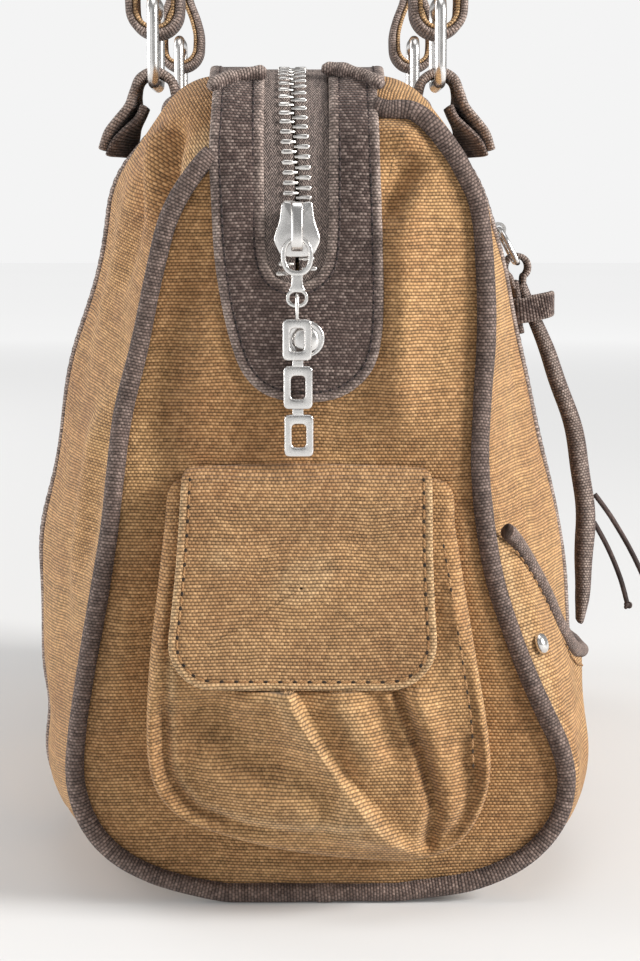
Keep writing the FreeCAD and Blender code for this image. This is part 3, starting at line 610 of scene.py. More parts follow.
class Stitching:
    """Collects rows of stitches, one mesh for the threads and one for the dark dots of painted
    shade that stand in for the needle holes.
    """

    def __init__(self):
        self.made = {}

    def add(self, key, shape, centre, t, s, n):
        rows, cols = shape.shape[:2]
        points = (centre[:, None, None] + t[:, None, None] * shape[None, ..., :1]
                  + s[:, None, None] * shape[None, ..., 1:2]
                  + n[:, None, None] * shape[None, ..., 2:])
        self.made.setdefault(key, []).append(points.reshape(-1, rows, cols, 3))

    def line(self, key, path, normal, pitch=3.2, gap=1.0, width=0.75, hole=0.7):
        """One row of stitches along a path on cloth with this normal."""
        path = np.asarray(path, float)
        length = np.linalg.norm(np.diff(path, axis=0), axis=1).sum()
        count = max(2, int(length / pitch))
        both = resample(np.hstack([path, np.broadcast_to(normal, path.shape)]), 2 * count + 1)
        t = unit(np.gradient(both[:, :3], axis=0))
        n = unit(both[:, 3:])
        s = np.cross(n, t)
        at = both[:, :3] + n * 0.1
        self.add(key + ("thread",), capsule(pitch - gap, width, 0.5), at[1::2], t[1::2],
                 s[1::2], n[1::2])
        # dark dots between the threads: painted shade standing in for the needle holes
        self.add(key + ("hole",), capsule(gap * 1.1, hole, 0.3), at[::2], t[::2], s[::2], n[::2])

    def finish(self):
        looks = {("tan", "thread"): THREAD_TAN, ("tan", "hole"): HOLE_SHADE,
                 ("dark", "thread"): THREAD_DARK, ("dark", "hole"): HOLE_SHADE_DARK}
        for (body, cloth, part), groups in self.made.items():
            points = np.concatenate(groups)
            count, rows, cols = points.shape[:3]
            faces, corners = capped(points[0])
            every = [[v + k * rows * cols for v in face] for k in range(count) for face in faces]
            loops = np.concatenate([corners.reshape(-1, 2) * 0.6, np.zeros((2 * cols, 2))])
            make_mesh("_".join(["stitches", body, cloth, part]), points.reshape(-1, 3), every,
                      np.tile(loops, (count, 1)), looks[(cloth, part)], body)


stitching = Stitching()


# ---- camera, lights, floor ----------------------------------------------------------------
def make_studio():
    camera = bpy.data.objects.new("camera", bpy.data.cameras.new("camera"))
    camera.data.lens = 87.4
    camera.data.sensor_width = 36.0
    camera.data.clip_start = 0.01
    pitch, yaw = math.radians(-6.25), math.radians(-0.56)
    heading = Vector((math.cos(pitch) * math.cos(yaw), math.cos(pitch) * math.sin(yaw),
                      math.sin(pitch)))
    camera.location = (-0.875, 0.0, 0.207)
    camera.rotation_euler = heading.to_track_quat("-Z", "Y").to_euler()
    scene = bpy.context.scene
    scene.collection.objects.link(camera)
    scene.camera = camera
    scene.view_settings.view_transform = "Standard"

    floor = bpy.data.meshes.new("floor")
    far = 12.0
    floor.from_pydata([(-far, -far, 0), (far, -far, 0), (far, far, 0), (-far, far, 0)], [],
                      [(0, 1, 2, 3)])
    n = Nodes("studio_floor")
    split = n.tree.nodes.new("ShaderNodeSeparateXYZ")
    n.link(n.place(), split.inputs[0])
    away = n.math("SQRT", n.math("ADD", n.math("POWER", split.outputs[0], 2.0),
                                 n.math("POWER", split.outputs[1], 2.0)))
    cloud = n.spread(n.noise(0.8, 1.0), 0.3, 0.7)
    n.link(n.mix(cloud, (0.64, 0.64, 0.64, 1), (0.66, 0.66, 0.66, 1)),
           n.shader.inputs["Base Color"])
    n.shader.inputs["Roughness"].default_value = 0.9
    n.shader.inputs["Specular IOR Level"].default_value = 0.1
    # the sweep of paper glows gently with distance, as one lit from behind does
    n.shader.inputs["Emission Color"].default_value = (1, 1, 1, 1)
    n.link(n.spread(away, 0.25, 3.4, 0.08, 0.685), n.shader.inputs["Emission Strength"])
    floor.materials.append(n.material)
    thing = bpy.data.objects.new("floor", floor)
    scene.collection.objects.link(thing)

    for name, place, size, energy, colour in (
            ("key", (-0.72, -1.75, 0.95), 0.7, 58.0, (1.0, 0.985, 0.96)),
            ("fill", (-1.9, 1.1, 0.8), 1.6, 4.0, (0.98, 0.99, 1.0)),
            ("low", (-0.1, 1.7, 0.35), 0.9, 24.0, (1.0, 0.99, 0.97)),
            ("top", (-0.2, -0.2, 2.0), 1.3, 9.0, (1.0, 1.0, 1.0)),
            ("back", (1.3, 1.5, 1.0), 1.2, 15.0, (1.0, 1.0, 1.0))):
        light = bpy.data.lights.new(name, "AREA")
        light.energy = energy
        light.size = size
        light.color = colour
        lamp = bpy.data.objects.new(name, light)
        lamp.location = place
        aim = Vector((0, 0, 0.15)) - Vector(place)
        lamp.rotation_euler = aim.to_track_quat("-Z", "Y").to_euler()
        scene.collection.objects.link(lamp)
    world = bpy.data.worlds.new("studio")
    world.use_nodes = True
    tree = world.node_tree
    seen = tree.nodes.new("ShaderNodeLightPath").outputs["Is Camera Ray"]
    strength = tree.nodes.new("ShaderNodeMapRange")
    tree.links.new(seen, strength.inputs[0])
    strength.inputs[3].default_value = 0.27
    strength.inputs[4].default_value = 0.905
    tree.nodes["Background"].inputs[0].default_value = (1, 1, 1, 1)
    tree.links.new(strength.outputs[0], tree.nodes["Background"].inputs[1])
    scene.world = world


# ---- the soft body ------------------------------------------------------------------------
def end_point(y, h, lift, end):
    """A point on an end: h runs up the panel and on over the rolled shoulder."""
    y, h, lift = np.broadcast_arrays(np.asarray(y, float), h, lift)
    turn = np.clip((h - ROLL_Z) / SHOULDER, 0.0, PI / 2)
    over = np.maximum(h - ROLL_Z - SHOULDER * PI / 2, 0.0)
    x = HALF - SHOULDER + (SHOULDER + lift) * np.cos(turn) - over
    z = np.where(h < ROLL_Z, h, ROLL_Z + (SHOULDER + lift) * np.sin(turn))
    return np.stack([end * x, y, z], -1)


def end_slope(y, h):
    """The upper end falls back toward the sides of the bag."""
    band = smoothstep(128, 165, h) * smoothstep(252, 226, h)
    return band * (-6.0 * smoothstep(31, 57, -y) - 3.2 * smoothstep(24, 50, y))


# Creases of an end panel in (y, h), the same way: the puffed front shoulder and its dent first.
END_FOLDS = (
    (7, 4.6, 0.2, (-33, 226), (-31, 200), (-30, 168), (-30, 140)),
    (4.5, -6.4, 0.3, (-26, 205), (-29, 216), (-36, 231)),
    (5, 2.6, 0.0, (-27, 236), (-33, 232)),
    (3.0, -1.6, 0.3, (-26, 200), (-26.5, 180), (-26, 160)),
    (7, -3.2, 0.25, (31, 208), (36, 180), (42, 150), (46, 120)),
    (7, 1.6, 0.25, (26, 190), (31, 160), (36, 142)),
    (6, -1.2, 0.25, (-20, 150), (4, 143), (30, 146)),
    (6, 2.4, 0.25, (-50, 128), (-60, 92), (-68, 70)),
    (7, 2.0, 0.25, (50, 110), (56, 78), (58, 50)),
    (8, 1.2, 0.25, (-50, 22), (-10, 10), (30, 14)),
)


def end_lift(y, h, end):
    """How far an end panel stands proud of flat."""
    at = np.stack(np.broadcast_arrays(np.asarray(y, float), h), -1)
    lift = 1.0 + 0.0 * at[..., 0]
    for width, height, fade, *line in END_FOLDS:
        lift += stroke(at, line, width, height, fade=fade)
    lift += ripple(at, 60.0, 0.5, 5 if end < 0 else 6)
    rim = smoothstep(0.0, 9.0, edge_distance(at))
    slot = smoothstep(14.5, 11.5, np.abs(at[..., 0])) * smoothstep(182, 187, at[..., 1])
    lift = (lift * rim - 0.6 * (1 - rim)) * (1 - slot) - 3.2 * slot
    return lift + end_slope(at[..., 0], at[..., 1])


def end_outline(count):
    """Closed outline of an end in (y, h): from the back top round the base to the front top."""
    back = smooth(END_BACK, 200)
    front = smooth(END_FRONT, 200)
    return resample(np.vstack([back[::-1], front[1:]]), count, True)


OUTLINE = end_outline(360)


def edge_distance(at):
    """Distance from the end panel's outline."""
    flat = at.reshape(-1, 2)
    best = np.full(len(flat), 1e9)
    for k in range(0, len(OUTLINE), 3):
        best = np.minimum(best, np.linalg.norm(flat - OUTLINE[k], axis=1))
    return best.reshape(at.shape[:-1])


RING_COUNT = 150     # points of a half section
COLUMNS = 64         # sections from the middle to an end
CLEAR = 0.15         # cloth kept above the floor
SEAM = 14.0          # height of the seam between base and sides


def half_ring(side):
    """Belly and end outlines of one side, from the base centre to the top centre."""
    belly, tip = (BELLY_BACK, END_BACK) if side > 0 else (BELLY_FRONT, END_FRONT)
    return rounded(belly, RING_COUNT), smooth(tip, RING_COUNT)


def shell_half(end):
    """The bag's skin from its middle to one end, every section from front top to back top."""
    stations = np.linspace(0, 1, COLUMNS) ** 0.85
    columns = []
    sides = {s: half_ring(s) for s in (-1, 1)}
    for t in stations:
        x = t * HALF
        parts = []
        for side in (-1, 1):
            belly, tip = sides[side]
            tip3 = end_point(tip[:, 0], tip[:, 1], end_slope(tip[:, 0], tip[:, 1]), end)
            share = max(0.0, (x - STRAIGHT) / (HALF - STRAIGHT))
            power = (1.12 + 0.4 * smoothstep(80, 30, belly[:, 1])
                     + 4.0 * smoothstep(218, 250, belly[:, 1]))
            mix = share ** power
            y = belly[:, 0] + (tip[:, 0] - belly[:, 0]) * mix
            z = belly[:, 1] + (tip3[:, 2] - belly[:, 1]) * mix
            reach = end * (x - STRAIGHT) if x < STRAIGHT else share * (tip3[:, 0] - end * STRAIGHT)
            xs = end * STRAIGHT + reach
            parts.append(np.stack([np.broadcast_to(xs, y.shape), y, z], 1))
        columns.append(np.vstack([parts[0][::-1], parts[1][1:]]))
    return np.array(columns)


# Creases of the skin, as (width, height, fade, points). Corner folds are gathers where the back
# meets the end of the zip, then the long folds below it, then those of the front corner.
CORNER_FOLDS = (
    (4.0, -6.5, 0.15, (162, 36, 240), (164, 40, 229.5), (167, 40, 217), (167, 44, 204)),
    (5.5, 4.0, 0.2, (152, 42, 240), (155, 46, 229), (158, 47.5, 214), (159, 52, 198)),
    (6.0, -4.2, 0.25, (148, 46, 228), (147, 53, 206), (140, 60, 183)),
    (8.0, 3.0, 0.25, (134, 52, 226), (132, 60, 200), (126, 68, 170)),
    (7.0, -3.4, 0.25, (160, 58, 170), (157, 64, 135), (153, 70, 95)),
    (3.5, 2.2, 0.2, (172, 31, 238), (173, 34, 228), (173.5, 37, 219)),
    (2.6, -2.6, 0.1, (164, 50, 212), (168, 45, 206), (172, 42, 204)),
    (8, -2.6, 0.3, (150, 56, 214), (152, 61, 190), (150, 67, 160)),
    (8, 3.2, 0.3, (148, 62, 160), (144, 70, 120), (142, 76, 80)),
    (9, -2.4, 0.3, (142, 70, 150), (138, 76, 110), (140, 80, 70)),
    (8, 2.4, 0.3, (158, -52, 226), (160, -60, 200), (160, -68, 165)),
    (8, -2.4, 0.3, (138, -60, 222), (140, -68, 190), (138, -78, 150)),
    (6, -2.0, 0.3, (165, -60, 150), (164, -64, 128), (166, -68, 100)),
    (7, 2.5, 0.2, (171, -52, 7), (168, -64, 9), (166, -70, 14)),
)
MIDDLE_FOLDS = (
    (9, -2.2, 0.3, (66, 62, 222), (62, 74, 180), (58, 85, 130)),
    (9, -2.4, 0.3, (106, 60, 224), (112, 72, 186), (120, 80, 140)),
    (10, -1.8, 0.3, (30, 84, 60), (75, 86, 44), (120, 82, 50)),
)


def sculpt_shell(grid):
    """Sagging, folds and puckers of the sewn canvas, along its normals."""
    normal = outward(grid)
    x, z = grid[..., 0], grid[..., 2]
    push = np.zeros(x.shape)
    mid = smoothstep(10, 50, z) * smoothstep(246, 205, z)
    push += ripple(grid, 95.0, 1.5, 21) * mid + ripple(grid, 42.0, 0.5, 22) * mid
    push += -3.0 * np.exp(-(x / 60) ** 2) * smoothstep(40, 90, z) * smoothstep(225, 160, z)
    for end in (-1, 1):
        for width, height, fade, *line in CORNER_FOLDS:
            push += stroke(grid, np.array(line) * (end, 1, 1), width, height, fade=fade)
        for side in (-1, 1):
            for width, height, fade, *line in MIDDLE_FOLDS:
                push += stroke(grid, np.array(line) * (end, side, 1), width, height, fade=fade)
    near = smoothstep(HALF - 1.0, HALF - 9.0, np.abs(x))
    push = np.where(np.abs(x) > HALF - 9.0, push * (0.15 + 0.85 * near), push)
    out = grid + normal * push[..., None]
    out[..., 2] = np.maximum(out[..., 2], CLEAR)
    return out


SHELL = sculpt_shell(np.concatenate([shell_half(-1)[::-1], shell_half(1)[1:]]))
SKIN_NORMAL = outward(SHELL)


def skin(x, z, side, lift):
    """Points and normals on the front (-1) or back (1) skin at a given x and z, lifted off."""
    x, z = np.broadcast_arrays(np.asarray(x, float), np.asarray(z, float))
    half = SHELL.shape[1] // 2
    part = SHELL[:, half::-1] if side < 0 else SHELL[:, half:]
    bent = SKIN_NORMAL[:, half::-1] if side < 0 else SKIN_NORMAL[:, half:]
    line_x = part[:, RING_COUNT // 2, 0]
    place = np.interp(x.ravel(), line_x, np.arange(len(line_x)))
    points = np.empty((x.size, 3))
    normals = np.empty((x.size, 3))
    for k, (f, zz) in enumerate(zip(place, z.ravel())):
        i = min(int(f), len(line_x) - 2)
        w = f - i
        column = part[i] * (1 - w) + part[i + 1] * w
        towards = bent[i] * (1 - w) + bent[i + 1] * w
        for axis in range(3):
            points[k, axis] = np.interp(zz, column[:, 2], column[:, axis])
            normals[k, axis] = np.interp(zz, column[:, 2], towards[:, axis])
    normals = unit(normals)
    points[:, 2] = np.clip(z.ravel(), part[..., 2].min(), part[..., 2].max())
    points = points + normals * np.asarray(np.broadcast_to(lift, x.shape)).reshape(-1, 1)
    return points.reshape(x.shape + (3,)), normals.reshape(x.shape + (3,))


def make_body():
    grid = SHELL
    cols = grid.shape[1]
    half = cols // 2
    seam_front = half - int(np.argmax(grid[len(grid) // 2, half::-1, 2] > SEAM))
    seam_back = half + int(np.argmax(grid[len(grid) // 2, half:, 2] > SEAM))
    uv = grid_uv(grid, False, False)[..., ::-1].copy()
    wear = 0.9 * smoothstep(8, 1.5, HALF - np.abs(grid[..., 0]))
    pieces = (("front_skin", slice(0, seam_front + 1), ("front_panel",)),
              ("base_skin", slice(seam_front, seam_back + 1), ("base_panel",)),
              ("back_skin", slice(seam_back, cols), ("back_panel",)))
    for name, part, nodes in pieces:
        grid_piece(name, grid[:, part], TAN, "bag", nodes, uv=uv[:, part], wear=wear[:, part],
                   thick=1.6)
    inner = grid - SKIN_NORMAL * 3.2
    inner = inner[3:-3]
    grid_piece("inner_lining", inner, LINING, "bag", ("lining",), thick=0.6, subdivide=0)

    insets = [0.0, 1.5, 3.5, 6.0, 9.0, 12.0] + fractions(12.0, 34)
    for end, name in ((-1, "left"), (1, "right")):
        flat = rings(OUTLINE, insets, (-5.0, 112.0), 12.0)
        lift = end_lift(flat[..., 0], flat[..., 1], end)
        panel = end_point(flat[..., 0], flat[..., 1], lift, end)
        grid_piece(name + "_end_skin", panel, TAN, "bag", (name + "_end_panel",),
                   closed=(False, True), caps="last", uv=flat, wear=0.0 * lift, thick=0.0)


def make_piping():
    back = smooth(END_BACK, 300)
    front = smooth(END_FRONT, 300)
    line = np.vstack([back[::-1], front[1:]])
    keep = (line[:, 1] < 150) | (np.abs(line[:, 0] - 1.0) > 23.0)
    line = resample(line[keep], 300)
    turn = unit(np.gradient(line, axis=0))
    aside = np.stack([-turn[:, 1], turn[:, 0]], 1)
    centre = np.array([-5.0, 112.0])
    aside *= np.sign(np.sum(aside * (line - centre), 1))[:, None]
    line = line + aside * 0.9
    wobble = 1.0 + 0.035 * np.sin(np.linspace(0, 60, len(line))) + rng.normal(0, 0.008, len(line))
    for end, name in ((-1, "left"), (1, "right")):
        lift = 0.6 + end_slope(line[:, 0], line[:, 1])
        path = end_point(line[:, 0], np.maximum(line[:, 1], PIPING_R), lift, end)
        section = round_section(PIPING_R, 14)[None] * wobble[:, None, None]
        grid = sweep(path, section, (end, 0, 0.0))
        wear = np.broadcast_to(0.35 * (section[0, :, 1] / PIPING_R > 0.5), grid.shape[:2])
        solid(name + "_piping_cord", grid, PIPED, "bag", (name + "_piping",), wear=wear)
        # where the two ends of the piping overlap under the bag
        where = int(len(path) * 0.47)
        ring = sweep(path[where:where + 4], round_section(PIPING_R * 1.06, 14), (end, 0, 0))
        solid(name + "_piping_join", ring, PIPED, "bag", wear=0.5 + np.zeros(ring.shape[:2]))


# ---- zip surround -------------------------------------------------------------------------
TAB_OUTER = [(25, 254), (25.6, 240), (26.2, 228), (25.6, 213), (24.8, 198), (22.8, 184), (20, 172),
             (16.5, 163), (11, 157.2), (4, 154.6), (-4, 154), (-12, 155.2), (-18.5, 159),
             (-23.2, 165), (-25.4, 174), (-25.9, 186), (-25.6, 200), (-25.2, 215), (-24.6, 230),
             (-24, 254)]
TAB_INNER = [(9.7, 254), (9.8, 240), (9.8, 225), (9.6, 210), (9.2, 199), (7.3, 192.8),
             (3.5, 190.2), (-1, 189.8), (-5, 191.5), (-8.2, 196), (-9.2, 205), (-9.4, 220),
             (-9.4, 240), (-9.4, 254)]


def draw_in(line, centre, inset):
    """An open line moved by inset toward a centre, along its own normals."""
    turn = unit(np.gradient(line, axis=0))
    aside = np.stack([-turn[:, 1], turn[:, 0]], 1)
    middle = len(line) // 2
    if aside[middle] @ (np.asarray(centre) - line[middle]) < 0:
        aside = -aside
    return line + aside * inset


def make_tabs():
    outer = smooth(TAB_OUTER, 170)
    inner = smooth(TAB_INNER, 170)
    hub, far = (0.0, 230.0), (0.0, 100.0)
    rows, lifts, worn = [], [], []
    for inset, lift, wear in ((0.1, -0.2, 1), (0.0, 1.0, 1), (0.35, 1.9, 1), (1.1, 2.35, 0.8),
                              (2.1, 2.3, 0.3), (3.1, 1.75, 0.1), (4.1, 2.15, 0), (5.5, 2.3, 0)):
        rows.append(draw_in(outer, hub, inset))
        lifts.append(lift)
        worn.append(wear)
    for inset, lift, wear in ((5.5, 2.3, 0), (4.2, 2.2, 0), (3.3, 1.8, 0.1), (2.4, 2.2, 0.3),
                              (1.2, 2.3, 0.7), (0.4, 1.9, 1), (0.0, 1.1, 1), (0.1, -0.2, 1)):
        rows.append(draw_in(inner, far, inset))
        lifts.append(lift)
        worn.append(wear)
    flat = np.array(rows)
    flat[8] = flat[7] * 0.66 + flat[9] * 0.34
    under = (flat[0] + flat[-1]) / 2
    flat = np.concatenate([flat, under[None]])
    lifts, worn = np.array(lifts + [-0.5]), np.array(worn + [0.0])
    for end, name in ((-1, "left"), (1, "right")):
        base = np.maximum(end_lift(flat[..., 0], flat[..., 1], end), 0.0) * 0.6
        rise = base + lifts[:, None] + ripple(flat, 30.0, 0.12, 31)
        rise[-1] = -0.5
        grid = end_point(flat[..., 0], flat[..., 1], rise, end)
        wear = worn[:, None] * (0.75 + 0.25 * np.sin(np.arange(170) * 0.37))[None]
        grid_piece(name + "_tab", grid, DARK, "bag", (name + "_zip_tab",), closed=(True, False),
                   uv=np.concatenate([flat, flat[:1]]), wear=wear)
        for line, centre, inset in ((outer, hub, 3.1), (inner, far, 3.3)):
            row = draw_in(line, centre, inset)
            low = np.maximum(end_lift(row[:, 0], row[:, 1], end), 0.0) * 0.6 + 1.85
            path = end_point(row[:, 0], row[:, 1], low, end)
            above = end_point(row[:, 0], row[:, 1], low + 1.0, end)
            stitching.line(("bag", "dark"), path, unit(above - path), pitch=2.9)


ZIP_REACH = HALF - SHOULDER
FLAT_H = ROLL_Z + SHOULDER * PI / 2


def zip_point(y, s, lift):
    """A point by the zip: s runs along it from the middle of the bag, on over both ends."""
    y, s, lift = np.broadcast_arrays(np.asarray(y, float), s, lift)
    h = FLAT_H + ZIP_REACH - np.abs(s)
    point = end_point(y, h, lift, 1)
    point[..., 0] *= np.where(s < 0, -1.0, 1.0)
    return point


def make_facings():
    stop = ZIP_REACH + FLAT_H - 252.8
    s = np.linspace(-stop, stop, 150)
    for side, name in ((-1, "front"), (1, "back")):
        low, high = 9.6, 26.6
        profile = rounded([(low, -0.4, 0.3), (high, -0.4, 0.3), (high, 1.5, 0.7),
                           (high - 2.6, 1.9, 2), (high - 3.4, 1.3, 1), (low + 3.4, 1.3, 1),
                           (low + 2.6, 1.9, 2), (low, 1.5, 0.7)], 36, True)
        y = side * profile[None, :, 0] + 0 * s[:, None]
        grid = zip_point(y, s[:, None], profile[None, :, 1] + ripple(
            np.stack([y, s[:, None] + 0 * y], -1), 40.0, 0.2, 41))
        edge = np.minimum(profile[:, 0] - low, high - profile[:, 0])
        wear = np.broadcast_to(smoothstep(2.2, 0.4, edge), grid.shape[:2])
        uv = strip_uv(profile, s, grid)
        solid(name + "_facing", grid, DARK, "bag", (name + "_top_facing",), uv=uv, wear=wear)
        for inset in (low + 3.2, high - 3.2):
            path = zip_point(side * inset, s, 1.35)
            stitching.line(("bag", "dark"), path, unit(zip_point(side * inset, s, 2.0) - path),
                           pitch=3.0)
        ends = [(7.4, 256.8), (12, 256.2), (17, 254.4), (22, 251.6), (25.6, 248.4)] \
            if side < 0 else [(9, 254.2), (13, 254.0), (18, 252.6), (22.5, 250.4), (26.4, 247.6)]
        line = smooth(ends, 40)
        for end, tag in ((-1, "left"), (1, "right")):
            path = end_point(side * line[:, 0], line[:, 1], 3.3, end)
            above = end_point(side * line[:, 0], line[:, 1], 4.3, end)
            t = np.linspace(0, 1, len(path))
            body = 2.25 + 0.25 * np.sin(t * 9.0 + side) + 0.15 * np.sin(t * 23.0)
            body *= np.minimum(1.0, 0.55 + 5 * np.minimum(t, 1 - t))
            roll = sweep(path, round_section(1.0, 14)[None] * body[:, None, None],
                         unit(above - path))
            wear = np.broadcast_to(smoothstep(0.2, 1.0, round_section(1.0, 14)[:, 1]) * 0.7,
                                   roll.shape[:2])
            solid("_".join([name, tag, "facing_roll"]), roll, DARK, "bag", wear=wear)


def zip_lean(s):
    """The closed chain lies a little to the back of the middle, except at the slider."""
    stop = ZIP_REACH + FLAT_H - 187.0
    return 1.4 * smoothstep(stop - 30.0, stop - 60.0, np.abs(s))


def make_tapes():
    stop = ZIP_REACH + FLAT_H - 187.0
    s = np.linspace(-stop, stop, 220)
    for side, name in ((-1, "front"), (1, "back")):
        profile = rounded([(0.5, -0.9, 0.2), (10.8, -0.9, 0.2), (10.8, 0.3, 0.2),
                           (3.9, 0.3, 0.6), (3.0, 0.55, 0.5), (0.5, 0.5, 0.3)], 26, True)
        y = side * profile[None, :, 0] + zip_lean(s)[:, None]
        grid = zip_point(y, s[:, None], profile[None, :, 1] + 0.3)
        uv = strip_uv(profile, s, grid)
        solid(name + "_tape", grid, TAPE, "bag", ("main_zip_tape_" + name,), uv=uv)


def tooth_template():
    """One tooth: a clamp round the tape and a narrower head that hooks over the middle."""
    rows = []
    for across, along, tall in ((-0.75, 0.3, 0.3), (-0.55, 0.48, 0.55), (0.35, 0.5, 0.62),
                                (0.7, 0.72, 0.95), (3.2, 0.76, 1.02), (3.75, 0.68, 0.95),
                                (3.95, 0.4, 0.6)):
        box = rectangle((-along, -tall), (along, tall), 0.22, 12)
        rows.append(np.stack([box[:, 0], np.full(12, across), box[:, 1]], 1))
    return np.array(rows)


def many(name, template, centre, a, b, c, look, body, replaces=()):
    """Copies of one closed grid in one mesh; a, b and c are each copy's three axes."""
    rows, cols = template.shape[:2]
    faces, _ = capped(template)
    every, verts = [], []
    for k in range(len(centre)):
        mirrored = np.dot(np.cross(a[k], b[k]), c[k]) < 0
        verts.append((centre[k] + template[..., :1] * a[k] + template[..., 1:2] * b[k]
                      + template[..., 2:] * c[k]).reshape(-1, 3))
        for face in faces:
            turned = face[::-1] if mirrored else face
            every.append([v + k * rows * cols for v in turned])
    return make_mesh(name, np.vstack(verts), every, None, look, body, replaces)


def make_teeth():
    shape = tooth_template()
    stop = ZIP_REACH + FLAT_H - 191.0
    count = int(2 * stop / 3.0)
    for side, name, shift in ((1, "back", 0.0), (-1, "front", 1.5)):
        s = (np.arange(count) + 0.5) * 3.0 - stop + shift
        s = s + rng.normal(0, 0.05, count)
        open_part = np.clip((-s - (stop - 9.0)) / 9.0, 0, 1)
        y = side * (0.35 + 2.6 * open_part) + zip_lean(s)
        centre = zip_point(y, s, 0.35)
        along = unit(zip_point(y, s + 0.5, 0.35) - centre)
        out = unit(zip_point(y, s, 1.35) - centre)
        across = np.broadcast_to([0.0, side, 0.0], centre.shape)
        many(name + "_teeth", shape, centre, along, across, out, TEETH, "bag",
             ("main_zip_teeth_" + name,))


def plate_piece(name, outline, low, high, look, body, replaces=(), bevel=0.4, dome=0.0):
    """A flat plate with rounded edges from a closed outline of (y, z)."""
    outline = resample(outline, 48, True)
    middle = outline.mean(0)
    flat = rings(outline, [900.0, 600.0, 1.2 * bevel, 0.3 * bevel, 0.0, 0.0, 0.3 * bevel,
                           1.2 * bevel, 600.0, 900.0], middle, 1.3 * bevel)
    levels = [low - dome, low - dome * 0.7, low, low + 0.3 * bevel, low + bevel, high - bevel,
              high - 0.3 * bevel, high, high, high]
    rise = np.array(levels)[:, None] + 0.0 * flat[..., 0]
    grid = np.stack([rise, flat[..., 0], flat[..., 1]], -1)
    return solid(name, grid, look, body, replaces)


def frame_piece(name, outer, inner, low, high, look, body, replaces=(), bevel=0.3):
    """A pierced plate: the space between two closed outlines of (y, z)."""
    outer, inner = resample(outer, 56, True), resample(inner, 56, True)
    rows = []
    for share, x in ((0.0, high - bevel), (0.0, low + bevel), (0.1, low + 0.2 * bevel),
                     (0.25, low), (0.75, low), (0.9, low + 0.2 * bevel), (1.0, low + bevel),
                     (1.0, high - bevel), (0.9, high - 0.2 * bevel), (0.75, high), (0.25, high),
                     (0.1, high - 0.2 * bevel)):
        flat = outer * (1 - share) + inner * share
        rows.append(np.stack([np.full(56, x), flat[:, 0], flat[:, 1]], 1))
    return grid_piece(name, np.array(rows), look, body, replaces, closed=(True, True))


def oval(y, z, half_y, half_z, count=40):
    """A slightly squared ellipse."""
    power = 2.3
    a = np.linspace(0, 2 * PI, count, endpoint=False)
    c, s = np.cos(a), np.sin(a)
    return np.stack([y + half_y * np.sign(c) * np.abs(c) ** (2 / power),
                     z + half_z * np.sign(s) * np.abs(s) ** (2 / power)], 1)


def planar(path, x, section):
    """A section (x, outward) carried along a path of (y, z)."""
    path = np.asarray(path, float)
    turn = unit(np.gradient(path, axis=0))
    aside = np.stack([turn[:, 1], -turn[:, 0]], 1)
    section = np.broadcast_to(section, (len(path),) + np.shape(section)[-2:])
    yz = path[:, None] + aside[:, None] * section[..., 1:]
    xs = x + section[..., 0]
    return np.stack([xs, yz[..., 0], yz[..., 1]], -1)


